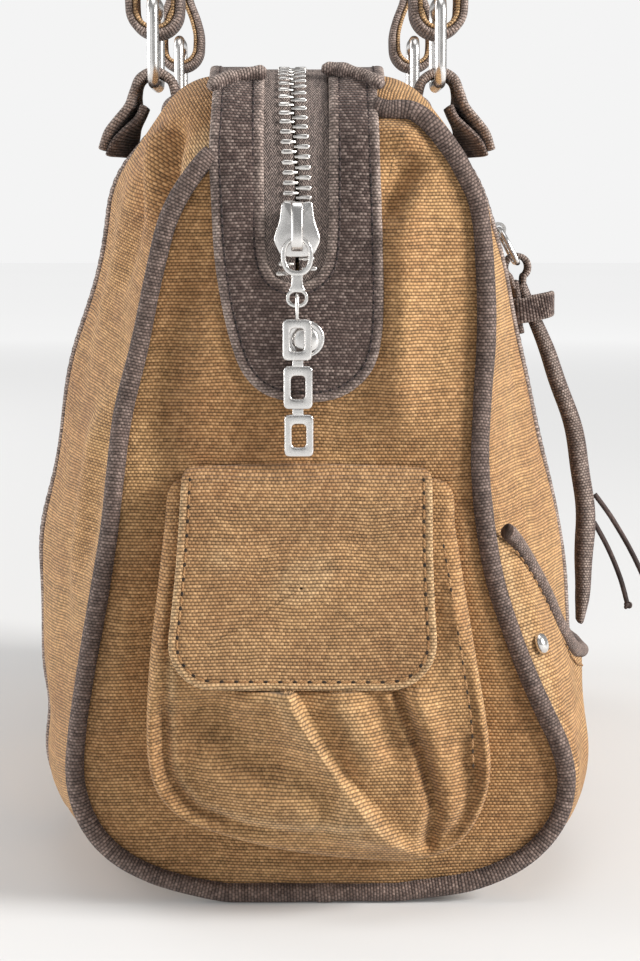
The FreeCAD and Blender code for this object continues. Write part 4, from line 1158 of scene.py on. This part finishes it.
def make_slider():
    face = -HALF
    wings = smooth([(-4.4, 214.0), (-4.9, 211.5), (-5.4, 208.0), (-6.6, 204.6), (-7.0, 202.4),
                    (-6.2, 200.4), (-5.2, 198.4), (-4.2, 197.6), (0, 197.4), (4.2, 197.6),
                    (5.2, 198.4), (6.2, 200.4), (7.0, 202.4), (6.6, 204.6), (5.4, 208.0),
                    (4.9, 211.5), (4.4, 214.0), (2.2, 213.7), (0, 213.5), (-2.2, 213.7)], 48, True)
    plate_piece("slider_plate", wings, face - 4.6, face - 2.5, METAL, "slider", ("main_slider",),
                bevel=0.6, dome=0.25)
    plate_piece("slider_under_plate", wings * [0.8, 0.9] + [0, 20.6], face + 1.5, face + 2.7,
                METAL, "slider", bevel=0.4)
    for side in (-1, 1):
        wall = [(side * 4.5, 199.0), (side * 5.6, 203), (side * 4.5, 207.5), (side * 4.0, 203)]
        plate_piece("slider_wall_" + ("back" if side > 0 else "front"),
                    smooth(wall[::side], 24, True), face - 2.9, face - 0.4, METAL, "slider",
                    bevel=0.3)
    line = smooth([(0.0, 213.6), (1.6, 212.4), (2.9, 209.0), (3.4, 205.0), (3.1, 201.6),
                   (1.6, 199.9), (0.0, 199.6)], 30)
    section = strap_section(2.0, 1.1, 0.45, 16)
    path = np.stack([face - 4.3 - line[:, 0], line[:, 1]], 1)
    turn = unit(np.gradient(path, axis=0))
    aside = np.stack([turn[:, 1], -turn[:, 0]], 1)
    spread = np.ones(len(path)) * (1.0 - 0.12 * np.sin(np.linspace(0, PI, len(path))))
    xs = path[:, None, 0] + aside[:, None, 0] * section[None, :, 1]
    zs = path[:, None, 1] + aside[:, None, 1] * section[None, :, 1]
    ys = section[None, :, 0] * spread[:, None]
    solid("slider_bridge", np.stack([xs, ys, zs], -1), METAL, "slider")

    pivot = -180.45
    frame_piece("puller_loop", oval(0, 197.6, 4.9, 5.9), oval(0, 197.9, 3.3, 4.3), pivot - 0.8,
                pivot + 0.8, METAL, "puller", ("main_puller",), bevel=0.55)
    neck = smooth([(-1.5, 192.9), (-1.7, 191.0), (-1.9, 189.0), (-2.3, 187.3), (2.3, 187.3),
                   (1.9, 189.0), (1.7, 191.0), (1.5, 192.9)], 40, True)
    plate_piece("puller_neck", neck, pivot - 0.75, pivot + 0.75, METAL, "puller", bevel=0.4)
    frame_piece("puller_eye", oval(0, 185.4, 3.4, 2.9), oval(0, 185.4, 2.2, 1.7), pivot - 0.65,
                pivot + 0.65, METAL, "puller", bevel=0.5)
    link = oval(pivot, 182.7, 1.65, 3.6, 36)
    ring = np.stack([link[:, 0], 0 * link[:, 0], link[:, 1]], 1)
    tube_piece("tag_link", ring, 0.62, METAL, "tag", up=(0, 1, 0), closed=True, count=10,
               replaces=("main_tag",))
    for k, (top, low) in enumerate(((179.2, 166.8), (165.3, 152.3), (150.8, 138.0))):
        lean = -0.25 * k
        middle = (top + low) / 2
        plate = rectangle((lean - 4.4, low), (lean + 4.4, top), 1.1, 80)
        hole = rectangle((lean - 2.1, middle - 3.4), (lean + 2.1, middle + 3.4), 1.2, 80)
        frame_piece("tag_plate_" + str(k + 1), plate, hole, pivot - 0.9, pivot + 0.9, METAL, "tag",
                    bevel=0.35)
    for k, (low, high) in enumerate(((164.9, 167.3), (150.4, 152.8))):
        bar = rectangle((-1.9, low), (1.5, high), 0.4, 32)
        plate_piece("tag_neck_" + str(k + 1), bar, pivot - 0.7, pivot + 0.7, METAL, "tag",
                    bevel=0.3)


def stud(name, centre, normal, steps, body, look, replaces=()):
    """A round metal head: (radius, height) steps about a centre."""
    normal = unit(np.asarray(normal, float))
    side = unit(np.cross(normal, [0.0, 1.0, 0.2]))
    other = np.cross(normal, side)
    a = np.linspace(0, 2 * PI, 28, endpoint=False)
    rows = []
    for radius, height in steps:
        rows.append(np.asarray(centre) + normal * height + radius
                    * (np.cos(a)[:, None] * side + np.sin(a)[:, None] * other))
    return solid(name, np.array(rows), look, body, replaces)


def make_tab_discs():
    steps = ((4.0, -0.6), (5.7, -0.5), (6.0, -0.1), (5.9, 0.45), (5.3, 0.75), (4.5, 0.62),
             (4.0, 0.5), (3.6, 0.95), (2.6, 1.2), (1.4, 1.25), (0.5, 1.25))
    for end, name in ((-1, "left"), (1, "right")):
        stud(name + "_disc", (end * (HALF + 2.5), -2.4, 173.0), (end, 0, 0), steps, "bag", METAL,
             (name + "_tab_disc",))


# ---- end pockets --------------------------------------------------------------------------
POCKET = [(37, 129), (39, 116), (41, 98), (43.3, 78), (44.3, 60), (43.8, 47), (41, 38), (34, 30.5),
          (22, 25.5), (8, 21.5), (-8, 18.8), (-24, 17.2), (-36, 17.4), (-46, 21), (-53, 29.5),
          (-56.8, 42), (-56.2, 56), (-53, 76), (-49.5, 97), (-46.5, 116), (-44.5, 129)]
FLAP = [(-42.5, 69.5, 15), (40.3, 70.5, 14), (34.6, 134.5, 3.5), (-40.5, 134.5, 3.5)]


# Gathers of the pocket in (y, z), as (whether they reach the rim, width on the left, width on the
# right, height, fade, points).
POCKET_FOLDS = (
    (0, 13.0, 1.8, 7.0, 0.1, (5, 76), (1, 64), (-4, 55.5), (-14.5, 40), (-26, 27), (-37, 17)),
    (0, 7.0, 7.0, -4.6, 0.2, (14, 70), (6, 56), (-4, 44), (-16, 33)),
    (0, 7.5, 7.5, -4.4, 0.2, (27, 72), (24, 60), (14, 50), (0, 43)),
    (0, 5.0, 5.0, 2.4, 0.2, (33, 52), (22, 41), (4, 35), (-10, 32)),
    (0, 4.0, 4.0, 1.2, 0.3, (16, 72), (12, 62), (5, 52)),
    (1, 2.0, 2.0, -5.0, 0.12, (-26, 76), (-31, 66), (-37, 51), (-41, 34), (-38.5, 17)),
    (1, 4.5, 4.5, 3.2, 0.2, (-33, 74), (-40, 58), (-46, 40), (-44, 24)),
    (0, 6.0, 6.0, 3.6, 0.25, (-10, 72), (-17, 58), (-25, 44)),
    (0, 3.6, 3.6, -2.6, 0.25, (-20, 74), (-26, 60), (-31, 46)),
    (1, 5.0, 5.0, 2.6, 0.2, (-46, 104), (-49, 84), (-51, 62), (-52, 46)),
    (1, 3.0, 3.0, -1.6, 0.3, (-50.5, 60), (-50, 46), (-46, 36)),
)


SNAP_Z = 82.0


def pocket_depth(z):
    """How far the pocket's front stands off the end panel."""
    return np.interp(z, [15, 30, 42, 56, 75, 95, 112, 126, 132],
                     [17.5, 21.5, 22.8, 22.0, 18.6, 14.6, 10.8, 6.2, 5.0])


def flap_depth(z):
    return np.interp(z, [66, 80, 95, 110, 122, 128, 131.5, 134, 136],
                     [21.6, 19.8, 17.0, 14.0, 11.3, 9.2, 6.9, 3.6, 1.6])


def make_pocket(end, name):
    top = [(-30, 130), (-10, 130.5), (15, 130.5), (28, 130)]
    outline = smooth(POCKET + top, 300, True)
    reach = 14.0
    insets = [0.0, -0.4, -0.9, -1.0, -0.7, 0.1, 1.2, 2.2, 3.0, 3.8, 4.6, 5.4, 6.4, 7.6, 9.0,
              10.5, 12.2, 14.0] + fractions(reach, 44)
    depth = [-0.6, 0.16, 0.36, 0.55, 0.72, 0.86, 0.94, 0.975, 0.985, 0.985, 0.98, 0.985]
    depth += [1.0] * (len(insets) - len(depth))
    flat = rings(outline, insets, (-4.0, 74.0), reach)
    z = flat[..., 1]
    rise = np.array(depth)[:, None] * pocket_depth(np.clip(z, 15, 132))
    rise[0] = -0.6
    inner = smoothstep(1.0, 9.0, np.array(insets))[:, None]
    body = smoothstep(-0.5, 4.0, np.array(insets))[:, None]
    fold = 0.0 * z
    seam = [(35.8, 108), (38.3, 82), (39.6, 62), (39.2, 48), (37, 41), (30, 33.6), (16, 29.2),
            (0, 27.6), (-14, 28.0), (-24, 30.5)]
    fold += body * stroke(flat, seam, 1.0, -1.7, fade=0.06)
    fold += body * stroke(flat, draw_in(np.array(seam), (0, 80), 2.2), 2.2, 0.9, fade=0.08)
    fold -= body * 8.0 * smoothstep(0, 42, flat[..., 0]) * smoothstep(74, 56, z)
    fold -= body * 6.5 * smoothstep(34, 54, -flat[..., 0]) * smoothstep(96, 70, z)
    for rim, width, other, height, fade, *line in POCKET_FOLDS:
        fold += (body if rim else inner) * stroke(flat, line, width, height, other, fade)
    fold += inner * ripple(flat, 26.0, 0.45, 51 if end < 0 else 52)
    gusset = (smoothstep(-0.2, -0.9, np.array(insets)) * smoothstep(6, 0, np.arange(len(insets))))
    fold += 0.8 * gusset[:, None] * np.sin(flat[..., 0] * 0.35)
    rise = np.maximum(rise + fold, -0.6)
    covered = flap_depth(z) - 2.4
    under = smoothstep(67, 73, z) * smoothstep(-46, -40, flat[..., 0]) * \
        smoothstep(43, 38, flat[..., 0])
    rise = np.where(under > 0.5, np.minimum(rise, covered), rise)
    grid = end_point(flat[..., 0], z, rise + 0.5, end)
    wear = 0.55 * stroke(flat, draw_in(np.array(seam), (0, 80), 1.6), 1.4, 1.0, fade=0.05) \
        + 0.3 * smoothstep(2.0, 4.5, fold)
    grid_piece(name + "_pocket_sack", grid, TAN, "bag", (name + "_pocket_body",),
               closed=(False, True), caps="last", uv=flat, wear=wear)
    row = smooth([(-43.5, 112), (-45.8, 98), (-48.6, 80), (-51.2, 62), (-51.9, 48)], 60)
    path = end_point(row[:, 0], row[:, 1], pocket_depth(row[:, 1]) * 0.97 + 1.9, end)
    stitching.line(("bag", "tan"), path, (end, -0.35, 0), pitch=4.2, gap=1.3)
    socket = ((2, -1), (4.9, -0.9), (5, 0.3), (4, 0.6), (1, 0.7))
    post = ((1, 0.9), (4, 1.0), (4.2, 1.6), (2, 2.2), (0.6, 2.2))
    place = (end * (HALF + pocket_depth(SNAP_Z) - 1.9), 0, SNAP_Z)
    for steps, node, owner in ((socket, "snap_socket", "bag"),
                               (post, "snap_stud", name + "_flap")):
        stud("_".join([name, node, "cap"]), place, (end * 0.98, 0, 0.197), steps, owner, METAL,
             (name + "_" + node,))


def make_flap(end, name):
    outline = rounded(FLAP, 260, True)
    outline[:, 1] += 1.3 * np.cos(np.clip(outline[:, 0] / 40.0, -1, 1) * PI / 2) \
        * smoothstep(120, 134, outline[:, 1])
    outline[:, 0] += -0.9 * np.sin((outline[:, 1] - 70) / 64 * PI) * np.sign(outline[:, 0])
    reach = 12.0
    front = [0.0, 0.2, 0.7, 1.4, 2.1, 2.7, 3.3, 4.2, 5.5, 7.5, 10.0, 12.0] + fractions(reach, 30)
    lifts = [-0.5, 0.1, 0.45, 0.55, 0.35, 0.0, 0.2, 0.35, 0.35, 0.3, 0.3, 0.3] + [0.3] * 30
    back = fractions(reach, 8)[::-1] + [12.0, 6.0, 2.0, 0.4]
    under = [-1.7] * len(back)
    insets = front + back
    flat = rings(outline, insets, (-1.0, 100.0), reach)
    rise = flap_depth(np.clip(flat[..., 1], 66, 136)) + np.array(lifts + under)[:, None]
    quilt = smoothstep(3, 12, np.array(front))[:, None] * (
        ripple(flat[:len(front)], 34.0, 0.5, 61)
        + stroke(flat[:len(front)], [(-20, 112), (-2, 100), (4, 86)], 8.0, 0.7)
        + stroke(flat[:len(front)], [(22, 122), (10, 112), (-10, 118)], 6.0, -0.6)
        + stroke(flat[:len(front)], [(-36, 120), (-37, 100), (-33, 84)], 5.0, -0.7))
    rise[:len(front)] += quilt
    curl = 1.2 * smoothstep(80, 70, flat[..., 1]) * np.sin((flat[..., 0] + 10) / 22.0)
    rise += curl
    grid = end_point(flat[..., 0], flat[..., 1], rise, end)
    worn = np.array([1.0, 1.0, 1.0, 0.75, 0.4, 0.1] + [0.0] * (len(insets) - 10)
                    + [0.3, 0.6, 1.0, 1.0])
    wear = worn[:, None] * smoothstep(133, 128, flat[..., 1]) + 0.0 * flat[..., 0]
    wear = wear * 0.6 + 0.3 * smoothstep(0.3, 0.9, np.concatenate(
        [quilt, np.zeros((len(back), flat.shape[1]))]))
    grid_piece(name + "_flap_cloth", grid, FLAP_TAN, name + "_flap", (name + "_pocket_flap",),
               closed=(True, True), uv=np.concatenate([flat, flat[:1]]), wear=wear)
    row = rings(outline, [2.7], (-1.0, 100.0), reach)[0]
    row = np.roll(row, -int(np.argmax(row[:, 1] + np.where(row[:, 0] > 0, 0, -99))), axis=0)
    row = row[(row[:, 1] < 131.5)]
    jump = int(np.argmax(np.linalg.norm(np.diff(row, axis=0), axis=1)))
    if np.linalg.norm(row[jump + 1] - row[jump]) > 10:
        row = np.roll(row, -(jump + 1), axis=0)
    rise = flap_depth(row[:, 1]) + 1.2 * smoothstep(80, 70, row[:, 1]) * np.sin(
        (row[:, 0] + 10) / 22.0)
    path = end_point(row[:, 0], row[:, 1], rise + 0.1, end)
    ahead = end_point(row[:, 0], row[:, 1], rise + 1.1, end)
    stitching.line((name + "_flap", "tan"), path, unit(ahead - path), pitch=4.3, gap=1.2,
                   width=0.8, hole=0.95)


# ---- pieces on the front and back ---------------------------------------------------------
def band_piece(name, x, side, node):
    profile = rounded([(-12, -0.6, 0.2), (12, -0.6, 0.2), (12, 1.3, 0.6), (9.4, 1.75, 1.5),
                       (8.6, 1.25, 1), (-8.6, 1.25, 1), (-9.4, 1.75, 1.5), (-12, 1.3, 0.6)],
                      30, True)
    z = np.linspace(SEAM + 0.5, 246.0, 100)
    xs = x + profile[None, :, 0] + 0 * z[:, None]
    grid, _ = skin(xs, z[:, None] + 0 * xs, side, profile[None, :, 1])
    wear = np.broadcast_to(smoothstep(10.2, 11.8, np.abs(profile[:, 0])), grid.shape[:2])
    uv = np.stack([xs, np.broadcast_to(z[:, None], xs.shape)], -1)
    solid(name, grid, DARK, "bag", (node,), uv=uv, wear=wear)
    for offset in (-8.8, 8.8):
        path, normal = skin(np.full(80, x + offset), np.linspace(20, 244, 80), side, 1.35)
        stitching.line(("bag", "dark"), path, normal, pitch=3.4)


def mouth(x):
    """Height of the scooped mouth of the front pocket."""
    return np.interp(np.abs(x), [0, 70, 100, 118, 130, 139, 147, 154, 160, 167],
                     [61, 61.6, 63, 66, 71, 78, 90, 102, 109.5, 113])


def make_front_pocket():
    x = np.linspace(-166, 166, 130)
    top = mouth(x)
    t = np.linspace(0, 1, 44)
    z = 12.0 + (top[:, None] - 12.0) * t[None]
    xs = np.broadcast_to(x[:, None], z.shape)
    edge = smoothstep(0, 7, 166 - np.abs(xs)) * smoothstep(11.5, 19, z)
    at = np.stack([xs, z], -1)
    swell = ripple(at, 70.0, 0.7, 71) + stroke(at, [(-150, 90), (-140, 55), (-120, 30)], 9, 0.9)
    swell += stroke(at, [(-80, 58), (-70, 40), (-30, 30)], 9, -1.2)
    swell += stroke(at, [(90, 60), (70, 42), (40, 34)], 9, -1.2)
    lift = 0.7 + edge * (3.9 + swell)
    grid, _ = skin(xs, z, -1, lift)
    wear = 0.6 * smoothstep(160, 165, np.abs(xs))
    grid_piece("front_pocket_cloth", grid, TAN, "bag", ("front_pocket",), uv=at, wear=wear,
               thick=1.5)
    path, normal = skin(x[1:-1], mouth(x[1:-1]) + 1.6, -1, 4.6)
    path, normal = smooth(path, 260), unit(smooth(normal, 260))
    roll = sweep(path, round_section(2.6, 14), normal)
    wear = np.broadcast_to(0.5 * (round_section(1, 14)[:, 1] > 0.4), roll.shape[:2])
    solid("front_pocket_cord", roll, PIPED, "bag", ("front_pocket_piping",), wear=wear)
    path, normal = skin(x[2:-2], mouth(x[2:-2]) - 3.6, -1, 4.9)
    stitching.line(("bag", "tan"), path, normal, pitch=3.6)
    for k, rx in enumerate((-161.0, 161.0)):
        at, normal = skin(np.array([rx]), np.array([77.0]), -1, 3.6)
        stud("rivet_" + str(k + 1), at[0], normal[0],
             ((2.0, -1.0), (3.4, -0.8), (3.5, 0.2), (3.2, 1.3), (2.2, 2.0), (0.8, 2.3)), "bag",
             METAL, ("front_pocket_rivets",) if k == 0 else ())


def make_front_zip():
    x = np.linspace(-70, 70, 70)
    for part, sign in (("upper", 1), ("lower", -1)):
        profile = rounded([(0.4, -0.6, 0.2), (11, -0.6, 0.2), (11, 0.9, 0.5), (7.5, 1.3, 1),
                           (6.6, 0.9, 0.5), (0.4, 0.9, 0.3)], 22, True)
        z = 204.0 + sign * profile[None, :, 0] + 0 * x[:, None]
        grid, _ = skin(x[:, None] + 0 * z, z, -1, profile[None, :, 1])
        uv = strip_uv(profile, x, grid)
        solid("front_tape_" + part, grid, TAPE, "bag", ("front_zip_tape",) if sign > 0 else (),
              uv=uv)
        path, normal = skin(np.linspace(-68, 68, 80), np.full(80, 204.0 + sign * 9.4), -1, 1.2)
        stitching.line(("bag", "dark"), path, normal, pitch=3.0)
    shape = tooth_template() * [0.78, 0.78, 0.8]
    centres, a, b, c = [], [], [], []
    for sign, shift in ((1, 0.0), (-1, 1.25)):
        xs = np.arange(-65.0, 65.0, 2.5) + shift
        points, normal = skin(xs, np.full(len(xs), 204.0 + sign * 0.3), -1, 1.35)
        above, _ = skin(xs, np.full(len(xs), 205.3), -1, 1.35)
        below, _ = skin(xs, np.full(len(xs), 203.3), -1, 1.35)
        centres.append(points)
        a.append(np.broadcast_to([1.0, 0, 0], points.shape))
        b.append(sign * unit(above - below))
        c.append(normal)
    many("front_teeth", shape, np.vstack(centres), np.vstack(a), np.vstack(b), np.vstack(c),
         TEETH, "bag", ("front_zip_teeth",))


# ---- fabric pull and laces ----------------------------------------------------------------
PULL_X = -62.0
UPPER_LACE = [(-62.0, -104.4, 113.0), (-62.3, -108.6, 107.6), (-61.8, -112.6, 101.4),
              (-62.0, -116.4, 95.0), (-62.6, -119.9, 88.2), (-62.4, -123.1, 81.2)]
LOWER_LACE = [(-61.0, -104.4, 103.0), (-60.6, -107.6, 97.6), (-60.9, -110.4, 92.0),
              (-60.5, -112.8, 86.4), (-60.8, -114.9, 80.6), (-60.6, -116.5, 74.4)]
LACE_D = 1.8


def make_laces():
    for points, node, length in ((UPPER_LACE, "upper_lace", 37.0),
                                 (LOWER_LACE, "lower_lace", 31.2)):
        curve = bpy.data.curves.new(node + "_cord", "CURVE")
        curve.dimensions = "3D"
        curve.bevel_depth = LACE_D * MM / 2
        curve.bevel_resolution = 4
        curve.resolution_u = 10
        curve.use_fill_caps = True
        spline = curve.splines.new("NURBS")
        spline.points.add(len(points) - 1)
        for target, p in zip(spline.points, points):
            target.co = (p[0] * MM, p[1] * MM, p[2] * MM, 1.0)
        spline.order_u = 3
        spline.use_endpoint_u = True
        cord = make_object(node + "_cord", curve, LACE[0], "pull", (node,))
        tip, before = np.array(points[-1]), np.array(points[-2])
        ahead = unit(tip - before)
        side = unit(np.cross(ahead, [1.0, 0.2, 0.0]))
        other = np.cross(ahead, side)
        a = np.linspace(0, 2 * PI, 60, endpoint=False)
        trefoil = ((np.sin(a) + 2 * np.sin(2 * a))[:, None] * side * 0.36
                   + (np.cos(a) - 2 * np.cos(2 * a))[:, None] * other * 0.36
                   - np.sin(3 * a)[:, None] * ahead * 0.55)
        knot = tube_piece(node + "_knot_turns", tip + ahead * 1.2 + trefoil, 0.68, LACE, "pull",
                          up=ahead, closed=True, count=8, replaces=(node + "_knot",))


def make_pull():
    ring_low, _ = node_box("front_zip_ring")
    bar_y, bar_z = ring_low[1] + 0.9, ring_low[2] + 0.9
    x = PULL_X
    line = smooth([(bar_y - 1.4, bar_z - 7), (-82.5, 175), (-89.0, 158), (-95.5, 140),
                   (-99.6, 120), (-101.2, 102), (-100.6, 84), (-99.9, 70), (-99.7, 67.5)], 90)
    t = np.linspace(0, 1, len(line))
    thick = np.interp(t, [0, 0.12, 0.2, 0.45, 0.75, 0.93, 1.0],
                      [3.6, 4.6, 5.2, 6.0, 6.4, 4.6, 2.2])
    half = np.interp(t, [0, 0.1, 0.3, 0.8, 1.0], [5.6, 5.0, 5.6, 5.9, 4.6])
    section = strap_section(1.0, 1.0, 0.48, 24)
    profile = np.stack([section[None, :, 0] * half[:, None], section[None, :, 1] * thick[:, None]],
                       -1)
    grid = planar(line, x, profile)
    grid[..., 1] += 0.25 * np.sin(grid[..., 2] * 0.22)
    wear = edge_wear(section, 1.0, grid, 0.8)
    solid("pull_long_strap", grid, DARK, "pull", ("pull_strap",), wear=wear)
    a = np.linspace(-0.30 * PI, 1.30 * PI, 30)
    loop = np.stack([bar_y + 4.0 * np.cos(a), bar_z - 1.5 + 4.0 * np.sin(a)], 1)
    loop = np.vstack([[(bar_y + 0.8, bar_z - 9)], loop, [(bar_y - 2.2, bar_z - 10)]])
    loop = smooth(loop, 60)
    section = strap_section(5.8, 1.9, 0.45, 20)
    grid = planar(loop, x, section)
    wear = edge_wear(section, 5.8, grid, 0.75)
    solid("pull_loop", grid, DARK, "pull", wear=wear)
    tail = smooth([(bar_y + 0.6, bar_z - 6), (bar_y - 0.4, 182), (bar_y - 0.6, 175),
                   (bar_y - 1.6, 169.5)], 40)
    grid = planar(tail, x, strap_section(5.6, 2.6, 0.45, 20))
    solid("pull_tail", grid, DARK, "pull", wear=0.3 + 0 * grid[..., 0])
    low, high = node_box("pull_keeper")
    middle_y, half_y = (low[1] + high[1]) / 2, (high[1] - low[1]) / 2 - 0.7
    outer = rectangle((x - 6.8, middle_y - half_y), (x + 6.8, middle_y + half_y), 3, 60)
    path = np.stack([outer[:, 0], outer[:, 1], np.full(60, (low[2] + high[2]) / 2)], 1)
    path[:, 2] += -0.16 * (path[:, 1] - middle_y) + 0.4 * np.sin(np.arange(60) * 0.21)
    section = strap_section((high[2] - low[2]) / 2, 1.5, 0.45, 20)
    grid = sweep(path, section[:, ::-1], (0, 0, 1), True)
    wear = edge_wear(section, 4.5, grid, 0.7)
    grid_piece("pull_keeper_band", grid, DARK, "pull", ("pull_keeper",), closed=(True, True),
               wear=wear)


# ---- handles ------------------------------------------------------------------------------
def make_hardware():
    for side, name in ((-1, "front"), (1, "back")):
        for end, tag in ((-1, "left"), (1, "right")):
            x = end * RING_X
            key = name + "_" + tag
            low, high = node_box(key + "_ring")
            y = (low[1] + high[1]) / 2
            wire = 2.0
            flat = rectangle((low[0] + wire, low[2] + wire), (high[0] - wire, high[2] - wire),
                             5, 72)
            path = np.stack([flat[:, 0], np.full(72, y), flat[:, 1]], 1)
            tube_piece(key + "_wire_ring", path, wire, METAL, name + "_rings", up=(0, 1, 0),
                       closed=True, count=16, replaces=(key + "_ring",))
            wing = np.array([(38.2, 238.5), (39.6, 244), (40.3, 250), (42.0, 255.0),
                             (47.0, 257.6), (52.0, 255.3), (53.8, 250.5), (54.6, 246),
                             (57.0, 241.5), (59.6, 237.0), (61.4, 231.5)])
            if end > 0:
                wing = wing + [0, 0.5]
            line = smooth(wing, 70)
            section = strap_section(11.0, 2.9, 0.42, 26)
            line[:, 0] *= side
            grid = planar(line, x, section)
            bend = (end * side * 0.34 * smoothstep(0.55, 0.9, np.linspace(0, 1, 70)))[:, None]
            grid[..., 1] += (grid[..., 0] - x) * bend
            grid[..., 2] += 0.25 * np.sin(grid[..., 0] * 0.5)
            worn = edge_wear(section, 11.0, grid, 0.82, 1.0)
            solid(key + "_chape_strap", grid, DARK, "bag", (key + "_chape",), wear=worn)
            inner = smooth([(side * 50.6, 246.5), (side * 52.4, 242.5), (side * 55.2, 238.5),
                            (side * 58.0, 233.5), (side * 59.4, 229.6)], 30)
            grid = planar(inner, x, strap_section(10.8, 2.6, 0.42, 22))
            bend = (end * side * 0.34 * smoothstep(0.2, 0.8, np.linspace(0, 1, 30)))[:, None]
            grid[..., 1] += (grid[..., 0] - x) * bend
            solid(key + "_chape_under", grid, DARK, "bag", wear=0.25 + 0 * grid[..., 0])


def make_handles():
    foot, top, lean = 298.0, 416.0, 19.0
    spine = rounded([(-RING_X, foot, 0), (-RING_X + lean, top, 55), (RING_X - lean, top, 55),
                     (RING_X, foot, 0)], 180)
    for side, name in ((-1, "front"), (1, "back")):
        body = name + "_handle"
        y = side * RING_Y
        path = np.stack([spine[:, 0], np.full(len(spine), y), spine[:, 1]], 1)
        path[:, 1] += 0.7 * np.sin(spine[:, 0] / 38.0)
        for k, offset in enumerate((-3.0, 3.0)):
            way = 1 if offset > 0 else -1
            profile = rounded([(-11, -1.5 * way, 0.4), (11, -1.5 * way, 0.4),
                               (11, 0.9 * way, 0.9), (8.6, 1.5 * way, 1.5),
                               (7.9, 1.0 * way, 0.6), (6.6, 1.6 * way, 2), (-6.6, 1.6 * way, 2),
                               (-7.9, 1.0 * way, 0.6), (-8.6, 1.5 * way, 1.5),
                               (-11, 0.9 * way, 0.9)], 44, True)
            grid = sweep(path + [0, offset, 0], profile, (0, 1, 0))
            wear = np.broadcast_to(smoothstep(9.6, 11.0, np.abs(profile[:, 0])) * 0.9,
                                   grid.shape[:2])
            solid("_".join([body, "outer" if k else "inner", "layer"]), grid, DARK, body,
                  (name + "_handle_strap",) if k else (), wear=wear)
            _, across, _ = frames_along(path, (0, 1, 0))
            for inset in (-7.9, 7.9):
                row = path + across * inset + [0, offset + way * 1.15, 0]
                stitching.line((body, "dark"), row, (0, way, 0), pitch=3.4)
        profile = rectangle((-10.2, -1.5), (10.2, 1.5), 0.8, 28)
        grid = sweep(path, profile, (0, 1, 0))
        solid(body + "_tan_core", grid, TAN, body, (name + "_handle_lining",),
              wear=0.3 + 0 * grid[..., 0])
        for end, tag in ((-1, "left"), (1, "right")):
            x = end * RING_X
            a = np.linspace(0, PI, 24)
            bottom = np.stack([8.2 * np.cos(a), 278.0 - 8.2 * np.sin(a)], 1)
            line = np.vstack([[(3.2, 303.5), (3.8, 297.5), (6.6, 290.0), (8.2, 283.5)], bottom,
                              [(-8.2, 283.5), (-6.6, 290.0), (-3.8, 297.5), (-3.2, 303.5)]])
            line = smooth(line, 90)
            for part, shrink, thick, look, half in (("fold", 0.0, 2.6, DARK, 11.0),
                                                    ("fold_tan", 2.0, 1.6, TAN, 10.7)):
                turn = unit(np.gradient(line, axis=0))
                toward = np.stack([-turn[:, 1], turn[:, 0]], 1)
                centre = np.array([0.0, 284.0])
                toward *= np.sign(np.sum(toward * (centre - line), 1))[:, None]
                inner = line + toward * shrink
                inner = smooth(inner[4:-4] if shrink else inner, 80)
                section = strap_section(half, thick, 0.45, 26)
                grid = planar(inner + [y, 0.0], x, section)
                worn = edge_wear(section, half, grid, 0.8)
                solid("_".join([body, tag, part]), grid, look, body, wear=worn)


FLAP_TAN = (canvas("flap_canvas", rgb(203, 161, 114), rgb(164, 119, 78), rgb(226, 194, 150),
                   mottle=0.35), "tan_canvas")

make_studio()
make_laces()
make_body()
make_piping()
make_tabs()
make_facings()
make_tapes()
make_teeth()
make_slider()
make_tab_discs()
for end, name in ((-1, "left"), (1, "right")):
    make_pocket(end, name)
    make_flap(end, name)
for side, name in ((-1, "front"), (1, "back")):
    for end, tag in ((-1, "left"), (1, "right")):
        band_piece("_".join([name, tag, "strip"]), end * RING_X, side,
                   "_".join([name, tag, "band"]))
make_front_pocket()
make_front_zip()
make_pull()
make_hardware()
make_handles()
stitching.finish()

for node, look in (("front_zip_slider", METAL), ("front_zip_ring", METAL), ("base_board", BOARD)):
    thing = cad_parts[node]
    for slot in thing.material_slots:
        slot.material = look[0]
